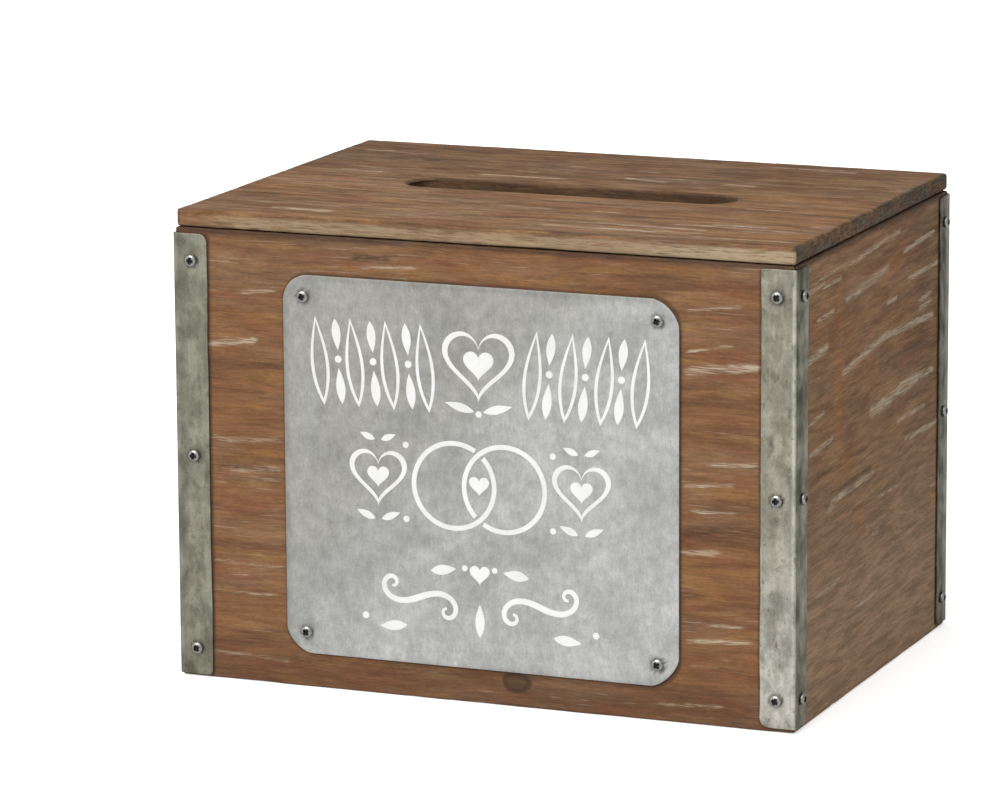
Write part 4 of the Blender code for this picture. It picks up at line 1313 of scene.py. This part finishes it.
# board: main, deep, red and yellow tones, share of grey, share of random limewash, strength of the fibre and
# of the blotches
WOOD_TONES = {
    "front_panel": (
        (0.226, 0.108, 0.049), (0.142, 0.068, 0.034), (0.198, 0.074, 0.036), (0.278, 0.142, 0.050),
        0.22, 0.8, 0.75, 0.12,
    ),
    "back_panel": (
        (0.238, 0.116, 0.054), (0.148, 0.072, 0.036), (0.206, 0.080, 0.040), (0.272, 0.144, 0.058),
        0.28, 0.9, 0.8, 0.16,
    ),
    "left_panel": (
        (0.285, 0.153, 0.077), (0.200, 0.103, 0.051), (0.246, 0.108, 0.054), (0.298, 0.164, 0.072),
        0.35, 0.9, 0.60, 0.16,
    ),
    "right_panel": (
        (0.285, 0.153, 0.074), (0.200, 0.103, 0.048), (0.246, 0.108, 0.052), (0.298, 0.164, 0.066),
        0.26, 0.8, 0.70, 0.20,
    ),
    "bottom_panel": (
        (0.250, 0.150, 0.085), (0.170, 0.096, 0.055), (0.230, 0.115, 0.062), (0.260, 0.165, 0.085),
        0.35, 0.3, 0.9, 0.14,
    ),
    "lid_panel": (
        (0.224, 0.112, 0.048), (0.112, 0.057, 0.027), (0.200, 0.080, 0.038), (0.268, 0.150, 0.062),
        0.28, 1.0, 1.2, 0.26,
    ),
}
LIMEWASH = (0.540, 0.445, 0.325)
BLEACHED = (0.410, 0.312, 0.196)
# Dark stain, also the colour of the painted shade on the wood.
DARK_STAIN_AND_SHADE = (0.045, 0.029, 0.020)
GREY_WOOD = (0.275, 0.192, 0.124)
ORANGE_STAIN = (0.370, 0.155, 0.048)
END_GRAIN_BROWN = (0.140, 0.078, 0.038)
END_GRAIN_GREY = (0.082, 0.072, 0.048)
KNOTS = {
    "front_panel": ((17.5, 11.6, 5.6),),
    "back_panel": ((-62.0, 148.0, 5.0), (88.0, 52.0, 3.6)),
    "left_panel": ((30.0, 64.0, 4.4),),
    "right_panel": (),
    "bottom_panel": ((40.0, -20.0, 5.0),),
    "lid_panel": ((-96.0, 62.0, 3.6),),
}


def sheets_on(wall):
    """Each sheet-metal piece that lies on a wall, with the radius of its corners in mm."""
    side = wall.split("_")[0]
    sheets = [(node, 2.5) for node in frame["nodes"] if node.endswith("_bracket") and side in node.split("_")]
    return sheets + ([("sign_plate", 13.0)] if side == "front" else [])


def metal_shade(graph, plain, wall, axes, face):
    """Darkness of the wood along the rims of the sheet metal on a wall's outer face."""
    parts = graph.parts(plain)
    total = 0.0
    for sheet, radius in sheets_on(wall):
        low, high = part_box(sheet)
        squares = []
        for part, axis in zip(parts, axes[:2]):
            centre = (low[axis] + high[axis]) / 2 / MM
            half = (high[axis] - low[axis]) / 2 / MM
            beyond = graph.largest(abs(part - centre) - (half - radius), 0.0)
            squares.append(beyond * beyond)
        apart = graph.math("SQRT", squares[0] + squares[1])
        total = graph.largest(total, apart.ramp(radius + 0.2, radius + 1.8, 1.0, 0.0))
    low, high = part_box(wall)
    outer = (high if face > 0 else low)[axes[2]] / MM
    return total * abs(parts[2] - outer).ramp(1.0, 2.0, 1.0, 0.0)


def knot_rings(graph, place, knots):
    """Darkness of the knots: each a dark core with a darker rim and a faint halo."""
    along, across, _ = graph.parts(place)
    total = 0.0
    for u, v, radius in knots:
        du = (along - u) / 1.5
        dv = across - v
        apart = graph.math("SQRT", du * du + dv * dv) + graph.noise(place, (4, 3, 3)) * (0.35 * radius)
        core = apart.ramp(0.75 * radius, 1.15 * radius, 0.72, 0.0)
        rim = abs(apart - 0.85 * radius).ramp(0.05 * radius, 0.45 * radius, 0.84, 0.0)
        halo = apart.ramp(1.0 * radius, 2.0 * radius, 0.30, 0.0)
        total = graph.largest(total, core, rim, halo)
    return total


def grain_place(graph, plain, seed):
    """Place on a board, bent so that its grain sways."""
    grain = graph.vector("ADD", plain, (seed * 31, seed * 17, seed * 7))
    wave = (graph.noise(grain, (130, 36, 36)) - 0.5) * 9.0
    ripple = (graph.noise(grain, (26, 5, 5)) - 0.5) * 0.9
    sway = wave + ripple
    return graph.vector("ADD", grain, graph.join(0.0, sway, sway * 0.6))


def stained_wood(graph, name, plain, grain):
    """Colour of the stained wood under its marks."""
    main, deep, red, yellow, grey_share, _, strength, uneven = WOOD_TONES[name]
    colour = main
    tints = (("band", deep, 0.42, 0.70), ("reds", red, 0.46, 0.60), ("yellows", yellow, 0.48, 0.60))
    for key, tone, start, share in tints:
        colour = graph.mix(grain[key].ramp(start, 0.66, 0.0, share), colour, tone)
    grey = graph.largest(grain["patchy"].ramp(0.42, 0.66, 0.0, grey_share), graph.painted("grey") * 0.55)
    colour = graph.mix(grey, colour, GREY_WOOD)
    warm = graph.painted("warm") * grain["broken"].ramp(0.30, 0.62, 0.25, 0.75)
    colour = graph.mix(warm, colour, ORANGE_STAIN)
    end_tone = graph.noise(plain, (40, 26, 5), 2)
    end_lines = graph.noise(plain, (30, 12, 0.9), 3, 0.6)
    end_grain = graph.mix(end_tone.ramp(0.40, 0.60), END_GRAIN_BROWN, END_GRAIN_GREY)
    end_grain = graph.shade(end_grain, end_lines.ramp(0.30, 0.70, 0.55, 1.45))
    colour = graph.mix(graph.painted("end") * 0.85, colour, end_grain)
    return graph.shade(
        colour,
        grain["fibre"].ramp(0.30, 0.70, 1 - 0.14 * strength, 1 + 0.15 * strength),
        grain["fine"].ramp(0.30, 0.70, 1 - 0.10 * strength, 1 + 0.10 * strength),
        grain["mottle"].ramp(0.30, 0.70, 1 - 0.10 * strength, 1 + 0.10 * strength),
        grain["blotch"].ramp(0.32, 0.68, 1 - uneven, 1 + uneven),
        graph.painted("tone"),
    )


def limewash(graph, grain, share):
    """How much limewash is left: the painted streaks, frayed along the grain, and random thin ones."""
    stray = grain["stray"].ramp(0.63, 0.73, 0.0, 0.6 * share) * grain["patchy"].ramp(0.35, 0.60)
    wash = graph.painted("wash")
    ragged = (wash + (grain["hairs"] - 0.5) * 2.2).ramp(0.25, 0.95)
    threads = grain["threads"].ramp(0.40, 0.56, 0.22, 1.0)
    return graph.largest(stray, ragged * wash.ramp(0.05, 0.75, 0.0, 0.85) * threads)


def wood_material(name, axes, face, seed):
    """Stained softwood, wire-brushed, with limewash left in the grain."""
    graph = material_graph(name + "_wood")
    plain = graph.place(axes)
    place = grain_place(graph, plain, seed)
    grain = {key: graph.noise(place, *pattern) for key, pattern in GRAIN_PATTERNS.items()}
    colour = stained_wood(graph, name, plain, grain)
    colour = graph.mix(limewash(graph, grain, WOOD_TONES[name][5]), colour, LIMEWASH)
    # Dark grain lines, pores, streaks, grooves, stain and knots, together with the painted shade on the wood,
    # all in the dark stain colour.
    dark = graph.largest(
        grain["lines"].ramp(0.27, 0.38, 0.50, 0.0),
        grain["pores"].ramp(0.20, 0.32, 0.35, 0.0),
        graph.painted("dark") * grain["hairs"].ramp(0.40, 0.62, 1.0, 0.25),
        graph.painted("groove") * 0.22,
        # painted shade under the lid, in the slot and along the bottom edges, with darker stain
        graph.painted("stain") * grain["broken"].ramp(0.30, 0.65, 1.0, 0.70),
        knot_rings(graph, plain, KNOTS[name]),
        metal_shade(graph, plain, name, axes, face) * 0.55 if sheets_on(name) else 0.0,
    )
    colour = graph.mix(dark, colour, DARK_STAIN_AND_SHADE)
    bleach = graph.painted("bleach") * grain["broken"].ramp(0.30, 0.62, 0.20, 0.90)
    colour = graph.mix(bleach, colour, BLEACHED)
    height = grain["fibre"] * 0.7 + grain["fine"] * 0.5 + grain["pores"] * 0.3
    return graph.finish(colour, grain["fibre"].ramp(0.30, 0.70, 0.76, 0.60), 0.0, 0.16, height, 0.14)


# bracket: main tone, dull tone (also the colour of the painted shade), share of dull patches
ZINC_TONES = {
    "front_left": ((0.320, 0.310, 0.244), (0.130, 0.128, 0.090), 0.50),
    "front_right": ((0.395, 0.375, 0.300), (0.092, 0.094, 0.050), 0.36),
    "back_right": ((0.300, 0.290, 0.236), (0.070, 0.062, 0.040), 0.30),
    "back_left": ((0.310, 0.300, 0.240), (0.130, 0.124, 0.090), 0.55),
}
# Colour of the painted highlight along a bracket's bend and of its lighter foot.
HIGHLIGHT_ZINC = (0.580, 0.562, 0.500)
# Colour of the painted shade round the screws.
RING_SHADE = (0.070, 0.066, 0.052)
SIGN_ZINC = (0.552, 0.558, 0.544)
SIGN_ZINC_UPPER_LEFT = (0.425, 0.416, 0.385)
SIGN_ZINC_CLOUD = (0.420, 0.424, 0.405)
SIGN_ZINC_RIM = (0.300, 0.300, 0.275)
# Painted shade inside the screws' recesses.
RECESS_BLACK = (0.010, 0.009, 0.008)
RECESS_GREY = (0.034, 0.032, 0.028)
PAINT_CREAM = (0.800, 0.795, 0.765)
PAINT_WHITE = (0.880, 0.880, 0.860)
PAINT_WORN = (0.480, 0.480, 0.460)


def bracket_material(corner, seed):
    """Dull galvanised sheet, mottled and streaked down its length, with painted shade by its bend, down its
    legs and round its screws, and a painted highlight along its bend.
    """
    main, dull, share = ZINC_TONES[corner]
    graph = material_graph(corner + "_bracket_zinc")
    place = graph.place(shift=(seed * 41, seed * 13, seed * 29))
    cloud = graph.noise(place, (9, 9, 14), 3, 0.55)
    patch = graph.noise(place, (10, 10, 16), 3, 0.6)
    smudge = graph.noise(place, (3.0, 3.0, 5.0), 3, 0.65)
    brushed = graph.noise(place, (1.1, 1.1, 34), 3)
    speck = graph.noise(place, (0.7, 0.7, 0.9), 2, 0.6)
    crystal = graph.cells(place, (3.2, 3.2, 4.5))
    # Patina and painted shade, in the dull tone.
    patina = graph.painted("patina") * cloud.ramp(0.30, 0.65, 1.0, 0.6)
    colour = graph.mix(graph.largest(patch.ramp(0.47, 0.60, 0.0, share), patina), main, dull)
    # Painted highlight along the bend, and the lighter foot.
    colour = graph.mix(graph.painted("wear") * cloud.ramp(0.35, 0.60, 0.5, 1.0), colour, HIGHLIGHT_ZINC)
    colour = graph.mix(smudge.ramp(0.56, 0.72, 0.0, 0.55), colour, dull)
    colour = graph.shade(
        colour,
        cloud.ramp(0.32, 0.68, 0.78, 1.24),
        brushed.ramp(0.30, 0.70, 0.96, 1.05),
        speck.ramp(0.30, 0.70, 0.92, 1.08),
        crystal.ramp(0.0, 1.0, 0.95, 1.05),
    )
    # Painted shade round the screws.
    colour = graph.mix(graph.painted("ring"), colour, RING_SHADE)
    height = cloud * 1.0 + speck * 0.25
    return graph.finish(colour, cloud.ramp(0.30, 0.70, 0.56, 0.40), 0.80, 0.5, height, 0.22)


def sign_material():
    """Light galvanised sheet with faint crystals, clouds and upright brushing, duller at its upper left."""
    graph = material_graph("sign_zinc")
    place = graph.place()
    cloud = graph.noise(place, (34, 34, 26), 4, 0.6)
    blots = graph.noise(place, (15, 15, 13), 4, 0.62)
    mottle = graph.noise(place, (4.5, 4.5, 6), 4, 0.65)
    brushed = graph.noise(place, (0.9, 0.9, 6), 3, 0.6)
    speck = graph.noise(place, (0.7, 0.7, 0.9), 2, 0.6)
    crystal = graph.cells(place, (4.5, 4.5, 5.5))
    parts = graph.parts(place)
    upper_left = (parts[Z] - parts[X]).ramp(80, 185)
    colour = graph.mix(upper_left, SIGN_ZINC, SIGN_ZINC_UPPER_LEFT)
    colour = graph.mix(cloud.ramp(0.42, 0.62, 0.0, 0.50), colour, SIGN_ZINC_CLOUD)
    colour = graph.shade(colour, blots.ramp(0.34, 0.66, 0.89, 1.08))
    colour = graph.mix(graph.painted("rim") * 0.75, colour, SIGN_ZINC_RIM)
    colour = graph.shade(
        colour,
        mottle.ramp(0.30, 0.70, 0.90, 1.10),
        brushed.ramp(0.30, 0.70, 0.955, 1.045),
        speck.ramp(0.30, 0.70, 0.93, 1.07),
        crystal.ramp(0.0, 1.0, 0.975, 1.025),
    )
    # Painted shade round the screws.
    colour = graph.mix(graph.painted("ring"), colour, RING_SHADE)
    height = mottle * 0.8 + speck * 0.2
    return graph.finish(colour, mottle.ramp(0.30, 0.70, 0.60, 0.50), 0.72, 0.5, height, 0.10)


def steel_material(name, colour, roughness_low, roughness_high):
    """Zinc-plated steel with light handling marks."""
    graph = material_graph(name)
    place = graph.place()
    cloud = graph.noise(place, (1.6, 1.6, 1.6), 3, 0.6)
    scratch = graph.noise(place, (4.0, 0.12, 0.12), 2)
    colour = graph.shade(colour, cloud.ramp(0.3, 0.7, 0.82, 1.12), scratch.ramp(0.3, 0.7, 0.93, 1.06))
    height = cloud * 0.5 + scratch * 0.25
    return graph.finish(colour, cloud.ramp(0.3, 0.7, roughness_high, roughness_low), 1.0, 0.5, height, 0.02)


def recess_material():
    """Inside of a screw's recess, painted nearly black as shade, with a faint mottle."""
    graph = material_graph("screw_recess")
    grime = graph.noise(graph.place(), (0.5, 0.5, 0.5), 3)
    return graph.finish(graph.mix(grime.ramp(0.3, 0.7), RECESS_BLACK, RECESS_GREY), 0.7, 0.2)


def paint_material():
    """Off-white paint, worn thin in small spots."""
    graph = material_graph("sign_paint")
    place = graph.place()
    wear = graph.noise(place, (1.0, 1.0, 1.2), 4, 0.7)
    cloud = graph.noise(place, (12, 12, 12), 3)
    colour = graph.mix(cloud.ramp(0.3, 0.7), PAINT_CREAM, PAINT_WHITE)
    colour = graph.mix(wear.ramp(0.62, 0.72, 0.0, 0.45), colour, PAINT_WORN)
    return graph.finish(colour, 0.55, 0.0, 0.4, wear, 0.04)


# ---------------------------------------------------------------- stage
def add_floor():
    """Wide pale floor. It bounces less light than it shows, so that the metal on it isn't washed out."""
    mesh = bpy.data.meshes.new("floor")
    sides = ((-1, -1), (1, -1), (1, 1), (-1, 1))
    corners = [(x * FLOOR_REACH, y * FLOOR_REACH, -FLOOR_DROP) for x, y in sides]
    mesh.from_pydata(corners, [], [(0, 1, 2, 3)])
    graph = material_graph("floor")
    seen = Value(graph, graph.add("ShaderNodeLightPath").outputs["Is Camera Ray"])
    colour = graph.mix(seen, (FLOOR_BOUNCE,) * 3, (FLOOR_SHOWN,) * 3)
    mesh.materials.append(graph.finish(colour, 0.9, 0.0, 0.0, glow=seen * FLOOR_LIFT))
    new_object("floor", mesh)


def add_world():
    """Soft studio surround, brighter towards the front left, that the camera sees as white."""
    world = bpy.data.worlds.new("studio")
    bpy.context.scene.world = world
    graph = Graph(world)
    direction = graph.add("ShaderNodeTexCoord").outputs["Generated"]
    towards = graph.add("ShaderNodeVectorMath", operation="DOT_PRODUCT")
    graph.feed(towards.inputs[0], direction)
    graph.feed(towards.inputs[1], Vector(WORLD_TOWARDS).normalized())
    spread = Value(graph, towards.outputs["Value"]).ramp(-0.6, 1.0, WORLD_DIM, WORLD_BRIGHT)
    around = graph.add("ShaderNodeBackground")
    graph.feed(around.inputs["Strength"], spread)
    behind = graph.add("ShaderNodeBackground")
    graph.feed(behind.inputs["Strength"], 1.0)
    graph.feed(behind.inputs["Color"], (1, 1, 1))
    seen = graph.add("ShaderNodeLightPath").outputs["Is Camera Ray"]
    choice = graph.add("ShaderNodeMixShader")
    for socket, value in zip(choice.inputs, (seen, around.outputs[0], behind.outputs[0])):
        graph.feed(socket, value)
    output = graph.add("ShaderNodeOutputWorld")
    graph.feed(output.inputs["Surface"], choice.outputs[0])


def add_key_light():
    """Soft distant light from above the front left."""
    light = bpy.data.lights.new("key", "SUN")
    light.energy = KEY_STRENGTH
    light.angle = KEY_ANGLE
    lamp = bpy.data.objects.new("key", light)
    lamp.rotation_mode = "QUATERNION"
    lamp.rotation_quaternion = Vector(KEY_TOWARDS).to_track_quat("Z", "Y")
    bpy.context.scene.collection.objects.link(lamp)


def add_camera():
    """Camera that looks at the front and the right side from a little above."""
    data = bpy.data.cameras.new("camera")
    data.lens = CAMERA_LENS
    data.clip_end = 100
    camera = bpy.data.objects.new("camera", data)
    turn = Matrix.Rotation(-CAMERA_YAW, 4, "Z")
    tilt = Matrix.Rotation(math.pi / 2 + CAMERA_PITCH, 4, "X")
    roll = Matrix.Rotation(CAMERA_ROLL, 4, "Z")
    camera.matrix_world = Matrix.Translation(CAMERA_PLACE) @ turn @ tilt @ roll
    bpy.context.scene.collection.objects.link(camera)
    bpy.context.scene.camera = camera


STEEL = steel_material("screw_steel", (0.42, 0.42, 0.40), 0.20, 0.34)
HINGE_STEEL = steel_material("hinge_steel", (0.40, 0.38, 0.33), 0.34, 0.50)
RECESS = recess_material()

add_boards()
add_brackets()
add_sign_plate()
add_screws()
add_hinges()
add_motif()
add_floor()
add_world()
add_key_light()
add_camera()
bpy.context.scene.view_settings.view_transform = "Standard"
